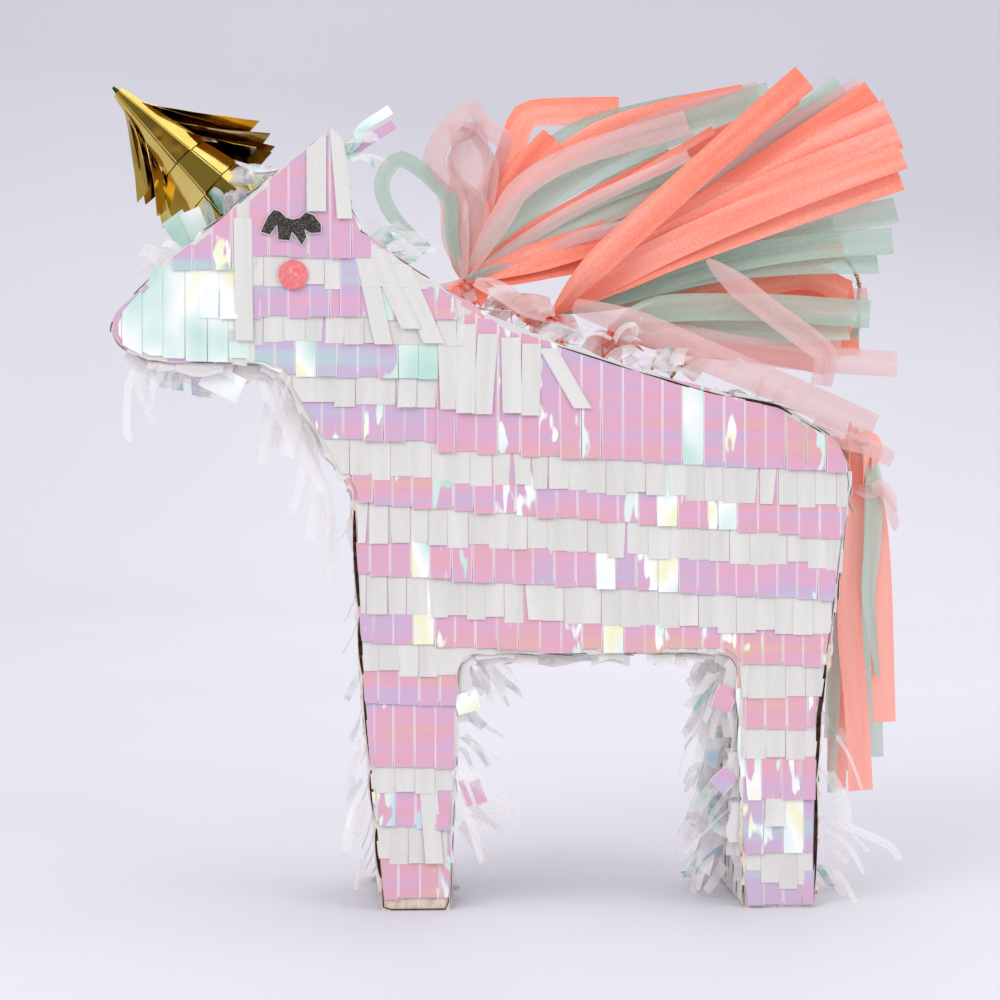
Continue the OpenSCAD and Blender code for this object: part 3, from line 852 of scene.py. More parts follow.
# Single flakes of film past the card's edge: width, glint, then the points they pass
FLAKES = [
    (1.7, 0.9, (-27.6, -17, 126.6), (-25.4, -18, 128.4), (-24.4, -18.4, 130.6), (-19.8, -18.8, 133.6)),
    (1.9, -0.5, (-26.4, -17, 126.4), (-24, -18, 128.2), (-19.2, -18.4, 131.2)),
    (3.6, -0.5, (36.9, -18.8, 37.2), (35.4, -19, 33.4)),
    (3.4, -0.5, (37.4, -18.9, 22.8), (34.8, -19.1, 20.2)),
    (3.4, 0.9, (-9, -19.2, 34.4), (-5.2, -19.4, 35.4)), (1, -0.5, (-8.2, -19.4, 21.8), (-6.6, -19.5, 17.6)),
    (2, -0.5, (-6, -19.3, 21.8), (-4.6, -19.4, 18)), (4.4, 0.9, (-50.8, -17.2, 89.8), (-44.6, -17.8, 86.8)),
    (4.4, 0.8, (-53.2, -6, 111.6), (-56.8, -7, 116.6)), (3.6, 0.75, (-51.6, -7, 112.4), (-53.8, -8, 117.6)),
    (3.6, 0.9, (-52.4, -18.4, 111.8), (-49, -18.6, 109.6)),
    (2.4, 0.9, (-58.6, -18.2, 105.8), (-55.4, -18.4, 108)),
]
# The share of tatters that are clear film
CLEAR_SHARE = 0.16


def make_tatters():
    rng = random.Random(43)
    wisps = Strips("tissue_tatters", wispy_tissue, "white_tissue")
    crumpled = Strips("film_tatters", clear_film, "iridescent_film")
    for count, middle, half_size, direction, lengths, widest in TATTER_PATCHES:
        for _ in range(count):
            start = [m + rng.uniform(-1, 1) * h for m, h in zip(middle, half_size)]
            aim = [d + rng.uniform(-0.45, 0.45) for d in direction]
            strips = crumpled if rng.random() < CLEAR_SHARE else wisps
            tatter(strips, rng, start, aim, rng.uniform(*lengths), rng.uniform(1, widest))
    for width, *points in STRANDS:
        streamer(wisps, rng, points, width, rng.uniform(-0.5, 0.5), rng.uniform(-0.8, 0.8), 1, 0.1)
    wisps.build()
    crumpled.build()
    single = Strips("film_flakes", film, "iridescent_film")
    for width, glint, *points in FLAKES:
        streamer(single, rng, points, width, 0.2, rng.uniform(-0.4, 0.4), 1, 0.08, glint)
    single.build()


# ---- Bands, veils and the painted seam shadow along the card's edge ----

# Each zone below is x from and to, z from and to, and then its own numbers.
# How far the band reaches past the panel, where it is wider or narrower than usual
BAND_WIDTHS = [(-38, -26, 64, 88, 2), (-4, 50, 82, 106, 1.5), (-62, -36, 88, 93, 1.2), (-8, 38, 41, 45, 1)]
BAND_WIDTH = 1.15
# Past these, at the nose and along the back, more of the bands are film
NOSE_X, BACK_Z = -52, 84
# Where the raw card edge shows: its start and end past the panel
CARD_EDGES = [(-34, -20, 2, 70, 0.55, 1.3), (36, 41, 1, 17, 0.1, 1.5), (50, 60, 3, 46, 0.8, 1.5)]
CARD_STEP, CARD_PIECE = 4, 4.8
# How far off the panel its pieces lie, by turns, so that no two overlap in one plane
CARD_LAYERS = (0.1, 0.155)
# Tissue that hangs out from the edge: shortest and longest reach, how many pieces
VEILS = [(-57, -38, 88, 93, 1.6, 3.6, 30), (-9, 42, 36, 45, 0.8, 2.6, 60), (-38, -25, 60, 88, 0.6, 2, 16),
         (36, 41, 4, 40, 1, 3.2, 26)]
# Where the edge strips stand off the side panels, shown by a painted shadow: the width of the gap
OPEN_SEAMS = [
    (-33, -21, 1, 70, 0.65), (-22, -8, 0, 2, 0.5), (50, 60, 2, 48, 0.75), (36, 42, 34, 43, 0.3),
    (-26, -20, 110, 120, 0.4), (10, 24, 86, 98, 0.3), (29, 44, 82, 92, 0.45), (44, 60, 48, 90, 0.16),
]


def at_depth(points, y):
    """(x, z) points as a line in space at one or more depths."""
    return np.column_stack([points[:, 0], y + np.zeros(len(points)), points[:, 1]])


def edge_piece(strips, rng, line, s, length, inner, outer, y, lean=0):
    """A piece of paper that follows the edge for length, between two distances past it."""
    t = np.linspace(0, 1, 9)
    where = s + length * t
    centre, out = line.at(where), line.out(where)
    ragged = outer * (0.8 + 0.2 * np.sin(5 * t + rng.uniform(0, 6)))[:, None]
    lines = [at_depth(centre + out * (inner + (ragged - inner) * share), y + lean * share)
             for share in (0, 0.5, 1)]
    if not in_hatch_sweep(np.vstack(lines)) and centre[:, 1].min() > FRINGE_LOW:
        strips.add(lines, rng.random(), rng.choice((-0.3, 0.4, 0.9)))


def make_edge_bands():
    rng = random.Random(83)
    paper = Strips("edge_bands", white_tissue, "white_tissue", 0.04)
    shiny = Strips("edge_film_bands", film, "iridescent_film", 0.04)
    for side in (NEAR, FAR):
        s = 0
        while s < PANEL_RIM.length:
            length = rng.uniform(5, 11)
            x, z = PANEL_RIM.at([s + length / 2])[0]
            width = (zones_at(BAND_WIDTHS, x, z) or [[BAND_WIDTH]])[0][0] * rng.uniform(0.85, 1.15)
            film_share = 0.8 if x < NOSE_X else 0.3 if z > BACK_Z else 0.1
            strips = shiny if rng.random() < film_share else paper
            edge_piece(strips, rng, PANEL_RIM, s, length, -0.15, width,
                       side * (HALF + rng.uniform(0.02, 0.1)))
            s += length * rng.uniform(0.75, 0.95)
    paper.build()
    shiny.build()


def make_card_edges():
    """Raw card past the near panel, in pieces that overlap."""
    rng = random.Random(101)
    strips = Strips("edge_card_bands", card, "panel_card", 0.04)
    for i, s in enumerate(np.arange(0, PANEL_RIM.length, CARD_STEP)):
        for inner, outer in zones_at(CARD_EDGES, *PANEL_RIM.at([s + CARD_STEP / 2])[0]):
            edge_piece(strips, rng, PANEL_RIM, s, CARD_PIECE, inner, outer,
                       NEAR * (HALF + CARD_LAYERS[i % 2]))
    strips.build()


def make_veils():
    rng = random.Random(89)
    veil = Strips("edge_veils", veil_tissue, "white_tissue", 0.04)
    starts = np.arange(0, RIM.length, 0.5)
    x, z = RIM.at(starts).T
    for x0, x1, z0, z1, shortest, longest, count in VEILS:
        inside = list(starts[(x > x0) & (x < x1) & (z > z0) & (z < z1)])
        for _ in range(count):
            y = rng.choice((-1, -1, 1)) * rng.uniform(HALF - 4.5, HALF - 0.4)
            edge_piece(veil, rng, RIM, rng.choice(inside), rng.uniform(4, 9), 0.1,
                       rng.uniform(shortest, longest), y, rng.uniform(-1.5, 1.5))
    veil.build()


SEAM_PAST = 0.45
SEAM_LAYER = 0.2


def make_seam():
    """A dark strip of painted shadow where the edge strips stand off the side panels."""
    line = Rim(grow(PANEL, SEAM_PAST))
    rng = random.Random(5)
    seam = Strips("panel_seam_shadow", seam_shadow, "panel_card", 0.04)
    rise = np.sin(np.linspace(0.1, math.pi - 0.1, 12))[:, None] ** 0.5
    s = 0
    while s < line.length:
        length = rng.uniform(8, 20)
        where = np.linspace(s, s + length, len(rise))
        centre, out = line.at(where), line.out(where)
        gaps = zones_at(OPEN_SEAMS, *centre[6])
        if gaps:
            wide = gaps[0][0] * rng.uniform(0.6, 1.1) * rise
            # Painted shadow: a dark strip in the gap, on both sides
            for y in (-HALF - SEAM_LAYER, HALF + SEAM_LAYER):
                seam.add([at_depth(centre, y), at_depth(centre + out * wide, y)])
        s += length + rng.uniform(0, 2)
    seam.build()


# ---- The lash's paper border ----

def make_lash_border(node, side, past=0.13, thickness=0.3):
    """The thin white edge of paper that shows round the glitter lash."""
    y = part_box(node)[1 if side == NEAR else 0].y / MM
    mesh = bpy.data.meshes.new(node + "_border")
    tidy = bmesh.new()
    outline = grow(panel_outline(node), past)
    face = tidy.faces.new([tidy.verts.new((x * MM, y * MM, z * MM)) for x, z in outline])
    made = bmesh.ops.extrude_face_region(tidy, geom=[face])
    moved = [v for v in made["geom"] if isinstance(v, bmesh.types.BMVert)]
    bmesh.ops.translate(tidy, verts=moved, vec=(0, side * thickness * MM, 0))
    bmesh.ops.recalc_face_normals(tidy, faces=tidy.faces)
    tidy.to_mesh(mesh)
    tidy.free()
    place_piece(node + "_border", mesh, white_paper, "black_glitter")


# ---- Horn ----

HORN_ANGLE = math.radians(44.5)
HORN_AXIS = np.array((-math.cos(HORN_ANGLE), 0, math.sin(HORN_ANGLE)))
HORN_ACROSS = np.array((math.sin(HORN_ANGLE), 0, math.cos(HORN_ANGLE)))
HORN_LENGTH = 31
HORN_RADIUS = 6.6
HORN_TIP = np.array((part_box("horn_cone")[0].x, 0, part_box("horn_cone")[1].z)) / MM
HORN_BASE = HORN_TIP - HORN_AXIS * HORN_LENGTH
# Half the angle that a flat finger of foil covers
FACET_HALF = math.radians(21)

# Foil fingers that lie flat on the cone: top and bottom heights of each tier, and the angle round
# the horn and painted reflection of each facet, from dark to bright. An angle of 0 is on top and 270 degrees
# is the near side.
FLAT_TIERS = [(1.2, 13.5), (6.5, 20), (13.5, 29.5)]
FACETS = [(229, 0.95), (269, 0.12), (309, 0.85), (51, 0.5), (91, 0.12), (131, 0.85)]
# How bright the painted reflections of the flared fingers may be, from dark to bright
FLARE_REFLECTION_TONES = (0.44, 0.56, 0.7, 0.85, 1)
# Flared fingers above and below the horn: angle, top height, length, flare, width
FLARED = [
    (-14, 25.5, 12, 3.2, 3), (6, 24.5, 17, 6.8, 3.6), (18, 22.5, 15, 5, 3.6), (-4, 19.5, 15, 6.2, 3.8),
    (10, 18, 15, 5.4, 3.6), (28, 20, 14, 4.4, 3.8), (-22, 17, 12, 3.6, 3.6), (2, 13, 10, 3.2, 4),
    (186, 26.5, 13.5, 5, 3.6), (170, 25, 13, 4.4, 3.6), (192, 20.5, 12, 4.8, 4), (178, 19.5, 12.5, 4.8, 3.8),
    (160, 21, 11, 4, 3.6), (198, 15, 9, 2.6, 4), (172, 13, 8.5, 2, 4),
]
COLLAR_FINGERS = 18
# Shortest and longest of each, for the collar: top height, length, flare, width
COLLAR_SIZES = [(3.5, 6.5), (5.5, 8.5), (1.5, 4.5), (3.5, 5.5)]


def on_horn(angle, height, off):
    """A point off the cone's surface, at an angle in radians round it and a height, then the way
    out there, the way round and the distance from the axis."""
    radial = math.cos(angle) * HORN_ACROSS + math.sin(angle) * np.array((0, 1, 0))
    radius = 0.2 + HORN_RADIUS * (HORN_LENGTH - height) / HORN_LENGTH + off
    return HORN_BASE + HORN_AXIS * height + radial * radius, radial, np.cross(HORN_AXIS, radial), radius


def foil_facet(strips, rng, angle, bottom, top, reflection_tone, off):
    """A flat finger of foil as wide as its facet of the cone."""
    rows = []
    for height in np.linspace(top, bottom, 6):
        centre, _, around, radius = on_horn(angle, height, off + 0.25 * (top - height) / (top - bottom))
        half = radius * math.tan(FACET_HALF) + 0.1
        rows.append((centre - around * half, centre + around * half))
    strips.add(np.array(rows).transpose(1, 0, 2), reflection_tone + rng.uniform(-0.06, 0.06))


def foil_flare(strips, rng, angle, top, length, flare, width):
    """A crumpled finger of foil that stands off the horn by flare at its end."""
    t = np.linspace(0, 1, 8)
    bend = np.cumsum([0] + [rng.uniform(-0.22, 0.22) for _ in t[1:]]) * t
    drop = math.sqrt(max(length**2 - flare**2, 20))
    fold = rng.uniform(0.15, 0.6) * rng.choice((-1, 1))
    turn = rng.uniform(0.6, 1.25) * rng.choice((-1, 1))
    rows = []
    for share, kink in zip(t, bend):
        centre, radial, around, _ = on_horn(angle, top - drop * share, 0.4 + flare * share**1.35 + kink)
        facing = turn * share**0.6
        across = around * math.cos(facing) + radial * math.sin(facing)
        raised = radial * math.cos(facing) - around * math.sin(facing)
        half = width / 2 * min(1, 0.5 + 2 * share)
        rows.append([centre - across * half, centre + raised * fold * share, centre + across * half])
    strips.add(np.array(rows).transpose(1, 0, 2), rng.choice(FLARE_REFLECTION_TONES))


def make_horn():
    rng = random.Random(59)
    fingers = Strips("horn_foil_fingers", foil, "gold_foil")
    for tier, (bottom, top) in enumerate(FLAT_TIERS):
        for angle, reflection_tone in FACETS:
            foil_facet(fingers, rng, math.radians(angle + rng.uniform(-2, 2)),
                       bottom + rng.uniform(-0.5, 0.5), top, reflection_tone, 0.12 + 0.16 * tier)
    for angle, *shape in FLARED:
        foil_flare(fingers, rng, math.radians(angle), *shape)
    fingers.build("horn_foil_lower", "horn_foil_middle", "horn_foil_upper")
    collar = Strips("horn_collar_film", clear_film, "iridescent_film")
    for i in range(COLLAR_FINGERS):
        angle = 2 * math.pi * i / COLLAR_FINGERS + rng.uniform(-0.15, 0.15)
        foil_flare(collar, rng, angle, *(rng.uniform(*size) for size in COLLAR_SIZES))
    collar.build()


# ---- Streamers of the mane and tail ----

def streamer(strips, rng, points, width, turn, twist, pinch, cup, glint=0, pale=0):
    """A tissue ribbon along a smooth path. Its face looks at -Y, turned by turn at its start and by
    twist more at its end, and it is gathered to a share of its width at the start."""
    count = 30
    path = smooth_path(points, count)
    forward = unit(np.gradient(path, axis=0))
    face = np.array((0, -1, 0)) - forward * (forward @ np.array((0, -1, 0)))[:, None]
    face /= np.maximum(np.linalg.norm(face, axis=1, keepdims=True), 1e-6)
    side = np.cross(forward, face)
    t = np.linspace(0, 1, count)[:, None]
    angle = turn * (1 - t) ** 2 + twist * t**1.5 + 0.12 * np.sin(7 * t + rng.uniform(0, 6))
    across = np.cos(angle) * side + np.sin(angle) * face
    lift = np.cos(angle) * face - np.sin(angle) * side
    half = width / 2 * (pinch + (1 - pinch) * np.minimum(1, t * 4.5) ** 0.7)
    bow = cup * width * np.minimum(1, 3 * (1 - t) + 0.3)
    strips.add([path - across * half, path + lift * bow, path + across * half], rng.random() + pale, glint)


# Where each bunch starts. The tail's is low behind the middle of its knot, clear of the binding as
# the tail swings.
POLL = (-6.7, 0, 106.5)
WITHERS = (8.9, 0, 101)
BACK = (18.9, 0, 98)
TAIL = (61.4, 0, 76.6)

# Listed streamers: colour, width, turn, twist, then the points after the start. One that starts
# somewhere else says how far it is gathered there before its points.
POLL_STREAMERS = [
    ("blush", 5.6, 0.9, 1.1, (-8.2, 2, 114), (-8.8, 3, 121), (-12, 3, 126.6), (-9.8, 2, 132.4),
     (-5.6, 1, 136.6)),
    ("blush", 5.4, 0.5, -1.2, (-4.8, 4, 114), (-1.2, 5, 122), (1, 5, 130), (-2.8, 4, 133.4),
     (-5.4, 3, 137.2)),
    ("blush", 4.6, 1.1, 1.9, (-6, 1, 113), (-4.2, 1, 119), (-8, 1, 123.4), (-9.2, 2, 129), (-4.6, 2, 132.6)),
    ("blush", 4.8, 0.2, 1.6, (-5.6, 3, 113), (-3.4, 4, 120), (-2, 4, 126.6), (-5, 3, 131.8), (-7.6, 3, 133)),
    ("coral", 3.6, 0.5, 0.4, (-7.6, 4, 112), (-8.6, 5, 118), (-7.6, 6, 123)),
    ("mint", 2.8, 0.4, 0.6, (-9, 1, 114), (-9, 2, 120), (-11.3, 3, 123), (-14.6, 3, 126), (-18, 2, 127.5),
     (-20.5, 1, 125), (-21, 0, 121.5), (-18.6, -1, 116.6), (-13.2, 0, 111.6)),
    ("coral", 5.2, 0.8, 0.3, (-2, 4, 118), (1.5, 6, 129), (3.5, 7, 134.5), (5.5, 7.5, 136.2), (12, 8, 136.6),
     (21, 8.5, 136.8)),
    ("coral", 5, 0.3, 0.2, (-1, 3, 118), (5, 4, 127), (9, 4, 131.5)),
    ("mint", 3.2, 0.5, -0.3, (2, 4, 122), (11.5, 5, 132), (28, 5, 137), (44.6, 4, 139.2)),
    ("coral", 5, 0.3, 0.2, (0, 3, 119), (15.7, 4, 131.2), (30, 4, 136), (42.5, 3, 138.6)),
    ("blush", 5, 0.4, 0, (6, 1, 121), (24, 1, 132), (45, 1, 138.8)),
    ("mint", 5.2, 0.2, 0.15, (4, 0, 119), (26.4, 0, 131), (46.7, 0, 138.6)),
    ("blush", 4.6, 0.9, 0.4, (-0.5, -3, 117), (3.4, -3, 122.6), (13, -2, 128), (32, -1, 133.8)),
    ("coral", 5, 0.2, 0.1, (10.4, -1, 117), (36, -1, 129.6), (52, -1, 136)),
    ("mint", 4.8, 0.2, 0, (10.4, -2, 114), (29.6, -1.5, 123.6), (46, 0, 132), (58, 1, 138.4)),
    ("coral", 5.2, 0.2, 0.1, (5, -3, 110), (18.9, -3, 114.7), (34, -2, 122.6), (50, -1, 132)),
    ("coral", 4.8, 0.3, 0.1, (6, -2, 108.6), (16, -2, 111), (28, 0, 117)),
]
WITHERS_STREAMERS = [
    ("mint", 4.8, 0.3, 0.1, (22, -2, 112), (42.5, -4, 127), (58.5, -4, 139.8)),
    ("blush", 4.8, 0.2, 0.1, (25, -2.5, 112.5), (46, -4, 127), (63.5, -4, 139.2)),
    ("blush", 4.2, 0.1, 0.1, (24, -3.6, 112), (37, -4.4, 123), (50, -4.6, 132.2), (61.6, -4.6, 139.4)),
    ("coral", 4.9, 0.1, 0.05, (25, -4, 112.4), (37, -5, 120.6), (50, -5.5, 129.4), (63.4, -6, 138.4)),
    ("coral", 4.9, 0.1, 0.1, (25, -4.6, 112.6), (45, -6, 125), (66, -6.6, 135)),
    ("coral", 4.9, 0.05, 0.1, (25, -5.2, 111.4), (45, -6.8, 122), (67.6, -7.2, 131.2)),
    ("coral", 4.9, 0.05, 0.1, (25, -5.8, 110.2), (45, -7.4, 119), (68.2, -8, 127.6)),
    ("coral", 4.9, 0.1, 0.15, (25, -5.2, 108.8), (45, -6.4, 116.2), (68, -7, 124)),
    ("coral", 4.9, 0.2, 0.05, (15.5, -7, 108.6), (29.6, -8.5, 121.6), (39.8, -9, 130.7), (51, -9.4, 140.6)),
    ("mint", 4.8, 0.2, 0.3, (36, -2, 111.6), (55, -3, 116), (68.2, -3, 118.6)),
    ("mint", 4.6, 0.2, 0.1, (35.5, -3, 109), (52, -4, 112), (67.4, -4, 113.2)),
    ("mint", 4, 0.3, 0.5, (34, -2, 107.4), (50, -3, 109.2), (65, -3, 109.2)),
    ("coral", 4.6, 0.3, 0.2, (24, 1, 107.4), (38, 2, 113.6), (52, 3, 120)),
]
BACK_STREAMERS = [
    ("coral", 4.8, 0.3, 0.3, (30, 1, 101.6), (41.4, 2, 104.8), (53, 3, 107.4), (61, 3, 104.6)),
    ("coral", 4.8, 0.2, 0.8, (35, 3, 101.4), (48, 5, 104.6), (57.4, 6, 102.4)),
    ("coral", 4.6, 0.3, 0.4, (34, 5, 99.6), (50, 7, 101.8), (62, 8, 105.6)),
    ("mint", 4.8, 0.1, 0.05, (26, -3, 101.2), (44, -4, 101.6), (63.3, -5, 100.4)),
    ("mint", 4.6, 0.2, 0.2, (28, -2, 98.8), (45, -3, 97.6), (60, -3, 98.2)),
    ("blush", 4.6, 0.2, 0.1, (30, -2, 96.6), (42.4, -3, 94.2), (56, -3, 92.6), (68.4, -3, 91.8)),
    ("blush", 4.4, 0.3, 0.2, (28, 2, 97.6), (44, 4, 97.4), (60, 5, 95)),
    ("coral", 4.4, 0.3, 0.4, (28, 4, 96.4), (44, 7, 94.6), (58, 9, 92.2)),
    ("mint", 4.4, 0.3, 0.2, (30, 5, 98.6), (48, 8, 99), (64, 9, 97.6)),
]
LOOSE_STREAMERS = [
    ("blush", 5.3, 0.2, 0, 0.5, (12, -5, 101.8), (22, -10, 98.2), (34.6, -16.4, 92.3), (48, -20.4, 86.3),
     (60.8, -21.2, 80.4)),
    ("blush", 3.4, 0.2, 0.7, 0.8, (52, -13, 81.6), (57, -14, 78.8), (61, -14.6, 77.6), (65.4, -14.6, 75.4)),
    ("blush", 4.4, 0.1, 0.5, 0.15, (34.6, -7, 109.6), (45, -8.5, 101), (53.6, -10, 94.4), (54.6, -10, 92),
     (54, -9.6, 88)),
    ("blush", 3.4, 0.1, 0.2, 0.8, (26.4, -9, 90.6), (27.4, -10, 93.6), (28.6, -10, 96.4)),
    ("blush", 3.2, 0.4, 0.3, 0.8, (31, -9, 89.4), (33, -10, 92.2), (34.4, -10, 93.2)),
    ("blush", 3.6, 0.5, 1, 0.5, (-5.2, -4, 106), (-1, -5, 104.4), (3.4, -6, 101.4), (7, -6, 99.6)),
    ("blush", 3, 0.2, 0.9, 0.4, (1, -6, 100.8), (5, -6.5, 102.4), (8.6, -5, 100.6)),
    ("blush", 6.8, 0.2, 0.3, 0.3, (-6.7, 2, 107), (-6.5, 3, 114), (-6, 4, 122), (-5.6, 4, 129),
     (-6.4, 3, 134)),
]
TAIL_STREAMERS = [
    ("coral", 4.4, 1, 0.05, (62, -3.8, 77.6), (60.4, -4.6, 79.8), (60.6, -7, 74), (59.6, -9, 62),
     (59, -10, 47), (60.2, -10, 33), (61, -10, 18.4)),
    ("coral", 4.3, 1.62, 0.1, (62.6, -3.6, 78.4), (63.6, -5, 77.4), (64.2, -6, 71), (64.6, -7, 61),
     (65, -7.5, 46), (65.4, -8, 30)),
    ("mint", 3.2, 0.3, 0.9, (62.4, -4, 77.8), (63.6, -8, 71), (63, -9.4, 61), (62.4, -9.2, 51),
     (64.4, -8.6, 38)),
    ("mint", 1.8, 0.3, 0.2, (62.6, -1.2, 77.6), (61.4, -2, 71), (58.8, -2, 50), (57.8, -2, 30),
     (57.4, -2, 17)),
    ("coral", 3, 0.4, 0.2, (62.8, 0, 77.8), (61.8, 0, 71), (59.6, 0, 46), (58.8, 0, 17.4)),
    ("mint", 4, 1.2, 0.3, (63.2, 1.2, 78.2), (64.4, 2, 74), (64.8, 3, 52), (65.6, 3, 22.6)),
    ("mint", 3.4, 0.9, 0.6, (62.8, 1.4, 77.4), (62, 3, 71), (60.4, 4, 58), (58.8, 4, 38), (58, 3, 26)),
    ("coral", 4, 1, 0.5, (63.4, 1.6, 78), (64.2, 3.6, 73), (63.2, 5, 62), (62, 5, 42), (61.4, 4, 27)),
    ("coral", 4.4, 0.9, 0.3, (62, 3.8, 77.6), (61.4, 4.8, 80.4), (62, 7, 72), (60.8, 9, 50), (60.4, 9, 19.5)),
    ("mint", 4.2, 0.8, 0.4, (62.4, 4, 77.8), (62.8, 5.4, 79), (63.2, 7, 72), (64, 9, 52), (64.6, 9, 23)),
    ("coral", 4.4, 0.5, 1.3, (62, -3.9, 77.2), (62.6, -6, 78.4), (63.4, -7, 77), (62.6, -7.4, 73.4),
     (61.8, -7, 70.4)),
    ("blush", 2.6, 0.4, 1.2, 0.7, (60.6, -7, 70.4), (62.6, -9.4, 69.8), (64.4, -9.2, 70.6), (66.4, -8.6, 69),
     (67.6, -8, 66.4)),
    ("blush", 2, 0.6, 0.9, 0.8, (64.6, -9, 70.2), (65.6, -9, 68), (66.8, -8.6, 65), (67.4, -8, 63.4)),
]
# The share of its width that a streamer has where its bunch is tied
GATHERED = 0.22
# More streamers behind the listed ones: how many, the angles they fan between, the shortest and
# longest, how far back they may lie, widths
POLL_FANS = [(9, 14, 33, (40, 54), (5, 11), (4.2, 5.2)), (7, 15, 33, (36, 52), (-5, -2), (1.4, 2.6))]
WITHERS_FANS = [(8, 12, 36, (48, 60), (3, 11), (4.2, 5.2))]
BACK_FANS = [(5, -4, 10, (38, 48), (3, 12), (4.2, 5.2))]
# Name, start, listed streamers, fans, body, replaced nodes, how much paler than usual
BUNCHES = [
    ("poll_streamers", POLL, POLL_STREAMERS, POLL_FANS, "body", ["poll_tassel"], 0),
    ("withers_streamers", WITHERS, WITHERS_STREAMERS, WITHERS_FANS, "body", ["withers_tassel"], 0),
    ("back_streamers", BACK, BACK_STREAMERS, BACK_FANS, "body", ["back_tassel"], 0),
    ("loose_streamers", POLL, LOOSE_STREAMERS, [], "body", [], 0),
    ("tail_streamers", TAIL, TAIL_STREAMERS, [], "tail", ["tail_tassel"], 0.9),
]


def fan(rng, start, count, low, high, reach, depth, widths):
    """Streamers like the listed ones, between two angles from the start."""
    for i in range(count):
        angle = math.radians(low + (high - low) * (i + rng.uniform(0.2, 0.8)) / count)
        length = rng.uniform(*reach)
        y = rng.uniform(*depth)
        end = (start[0] + length * math.cos(angle), y, start[2] + length * math.sin(angle))
        bend = rng.uniform(-2.5, 2.5)
        middle = (start[0] + 0.5 * length * math.cos(angle) - bend * math.sin(angle), y * 0.7,
                  start[2] + 0.5 * length * math.sin(angle) + bend * math.cos(angle))
        yield (rng.choice(("coral", "coral", "mint", "blush")), rng.uniform(*widths),
               rng.uniform(0.2, 0.8), rng.uniform(-0.3, 0.5), middle, end)


def make_bunch(rng, name, start, laid, body, replaced, pale):
    strips = {colour: Strips(f"{name}_{colour}", STREAMER[colour], "tissue_streamers", 0.06, body)
              for colour in STREAMER}
    for colour, width, turn, twist, first, *points in laid:
        if isinstance(first, tuple):
            first, points = GATHERED, [start, first, *points]
        streamer(strips[colour], rng, points, width, turn, twist, first,
                 rng.choice((-1, 1)) * rng.uniform(0.02, 0.2), pale=pale)
    made = [s.build() for s in strips.values() if s.count]
    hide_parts(*replaced)


# Short ends left where a bunch is tied, which hide its binding: x, z, how many
TIED_ENDS = [(-6.7, 104.6, 14), (8.9, 99, 14), (18.9, 96, 14), (1.8, 102.4, 20)]


def make_tied_ends(rng):
    """The last ends, between two bunches, have draws of their own."""
    colours = {colour: Strips(f"tied_ends_{colour}", STREAMER[colour], "tissue_streamers", 0.06)
               for colour in ("blush", "coral")}
    for (x, z, count), draws in zip(TIED_ENDS, (rng, rng, rng, random.Random(97))):
        for i in range(count):
            angle = 2 * math.pi * (i + draws.uniform(-0.3, 0.3)) / count
            direction = (0.9 * math.cos(angle), 0.9 * math.sin(angle) - 0.25, draws.uniform(-0.5, 0.3))
            strips = colours[draws.choice(("blush", "blush", "coral"))]
            start = (x, 0, z + draws.uniform(-0.6, 0.8))
            tatter(strips, draws, start, direction, draws.uniform(3.5, 7), draws.uniform(2.4, 4.6), 0.3, 1.4)
    for strips in colours.values():
        strips.build()


def make_mane_and_tail():
    rng = random.Random(71)
    make_tied_ends(rng)
    laid = [hand_laid + [s for shape in fans for s in fan(rng, start, *shape)]
            for _, start, hand_laid, fans, *_ in BUNCHES]
    for (name, start, _, _, body, replaced, pale), streamers in zip(BUNCHES, laid):
        make_bunch(rng, name, start, streamers, body, replaced, pale)


# ---- Hanging loop ----

# The thread's route, as in the CAD model before its shift along X
LOOP_ROUTE = [
    (28, 6, 87), (28, 6, 89), (28.3, 6.3, 91.5), (29.5, 8, 94), (32, 10.5, 97), (35.5, 13, 100),
    (40, 15, 103), (44.5, 16, 105.5), (49, 16.5, 107.8), (53.5, 17, 109.8), (58, 17, 111.3),
    (61.5, 17, 112), (64.5, 17, 111.2), (66.3, 16.8, 108.8), (67, 16.5, 106), (66.6, 16.5, 103),
    (66.9, 16.3, 100), (66, 16, 97), (64, 15.8, 95.2), (61, 15.6, 94.6), (57, 15.5, 94.8),
    (52.5, 15.5, 95.2), (48, 15.5, 95.4), (44, 15.4, 95), (40, 14.8, 94.2), (36.5, 13.6, 93),
    (33.8, 12, 91.6), (32.3, 10.4, 90.2), (31.8, 9.6, 88.6), (31.8, 9.6, 86.5),
]
ORIGIN_X = 1.5637
THREAD_DIAMETER = 0.8
# How far the two plies run along the thread as they go once round each other
LAY_LENGTH = 2.2


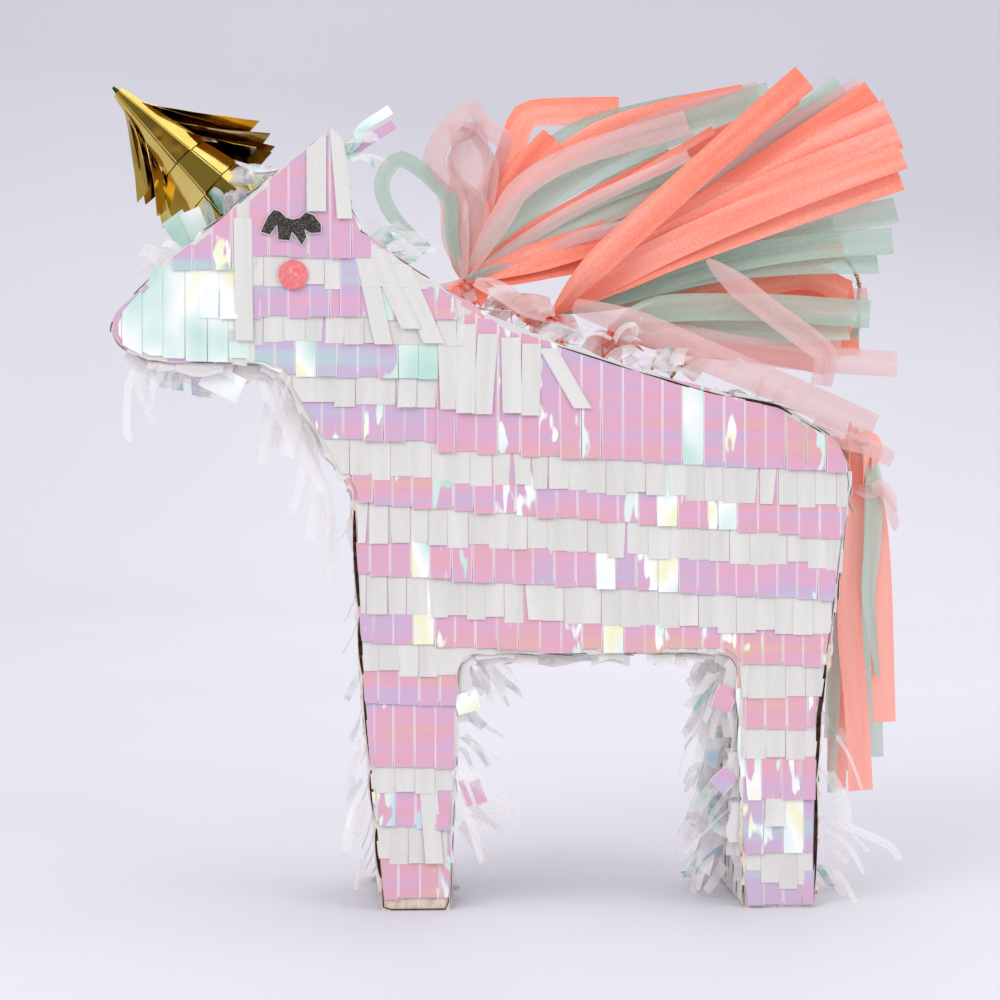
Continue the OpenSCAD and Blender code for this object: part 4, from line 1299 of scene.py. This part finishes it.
def make_loop():
    """Two plies of metallic thread twisted together, as one tube of two-lobed section."""
    route = [(x - ORIGIN_X, y, z) for x, y, z in LOOP_ROUTE]
    path = smooth_path(route, 420)
    forward = unit(np.gradient(path, axis=0))
    side = unit(np.cross(forward, (0, 0.3, 1)))
    up = np.cross(side, forward)
    reach = travelled(path)
    sides = 12
    points = []
    for p, s, u, far in zip(path, side, up, reach):
        for j in range(sides):
            a = 2 * math.pi * j / sides
            radius = THREAD_DIAMETER / 2 * (0.86 + 0.14 * math.cos(2 * (a - math.pi * far / LAY_LENGTH)))
            points.append(p + radius * (math.cos(a) * s + math.sin(a) * u))
    faces = [(i + j, i + (j + 1) % sides, i + sides + (j + 1) % sides, i + sides + j)
             for i in range(0, len(points) - sides, sides) for j in range(sides)]
    faces += [tuple(range(sides))[::-1], tuple(range(len(points) - sides, len(points)))]
    mesh = bpy.data.meshes.new("thread_loop")
    mesh.from_pydata(np.array(points) * MM, [], faces)
    smooth(mesh)
    loop = place_piece("thread_loop", mesh, gold_thread, "gold_thread", replaced=["hanging_loop"])
    paint("loop_knots", gold_thread)
    Vector(route[0]) * MM


# ---- Finishes of the CAD parts that show, and the floor ----

def paint(node, material):
    NODES[node].data.materials.clear()
    NODES[node].data.materials.append(material)


def finish_cad_parts():
    finishes = {
        "panel_card": card, "gusset_card": card, "black_glitter": glitter_material(),
        "coral_dot": coral_paper_material(), "gold_foil": foil, "twisted_tissue": twisted_tissue_material(),
        "paper_seal": white_paper, "sweet_wrapper": wrapper_material(), "white_tissue": white_paper,
        "gold_thread": gold_thread,
    }
    for part in frame["record"]["subparts"]:
        material = foil if part["node"] == "horn_cone" else finishes.get(part["material_slot"])
        if material:
            paint(part["node"], material)


FLOOR_FRONT, FLOOR_BACK = -3000, 700
FLOOR_CURVE = 500
WALL_TOP = 3000
FLOOR_HALF_WIDTH = 4000


def make_floor():
    """A pale floor that curves up into the wall behind."""
    curve = [(FLOOR_BACK + FLOOR_CURVE * math.sin(a), FLOOR_CURVE - FLOOR_CURVE * math.cos(a))
             for a in np.linspace(0.1, math.pi / 2, 12)]
    profile = [(FLOOR_FRONT, 0), (FLOOR_BACK, 0), *curve, (FLOOR_BACK + FLOOR_CURVE, WALL_TOP)]
    points = [(x, y, z) for y, z in profile for x in (-FLOOR_HALF_WIDTH, FLOOR_HALF_WIDTH)]
    faces = [(2 * i, 2 * i + 1, 2 * i + 3, 2 * i + 2) for i in range(len(profile) - 1)]
    mesh = bpy.data.meshes.new("floor")
    mesh.from_pydata(np.array(points) * MM, [], faces)
    smooth(mesh)
    mesh.materials.append(floor_paint)
    add_object("floor", mesh)


make_camera()
make_loop()
make_lights()
make_floor()
finish_cad_parts()
make_side_fringe(NEAR, "front")
make_side_fringe(FAR, "rear")
make_rim_fringe()
make_hatch_fringe()
make_tatters()
make_edge_bands()
make_card_edges()
make_veils()
make_seam()
make_lash_border("front_lash", NEAR)
make_lash_border("rear_lash", FAR)
make_horn()
make_mane_and_tail()
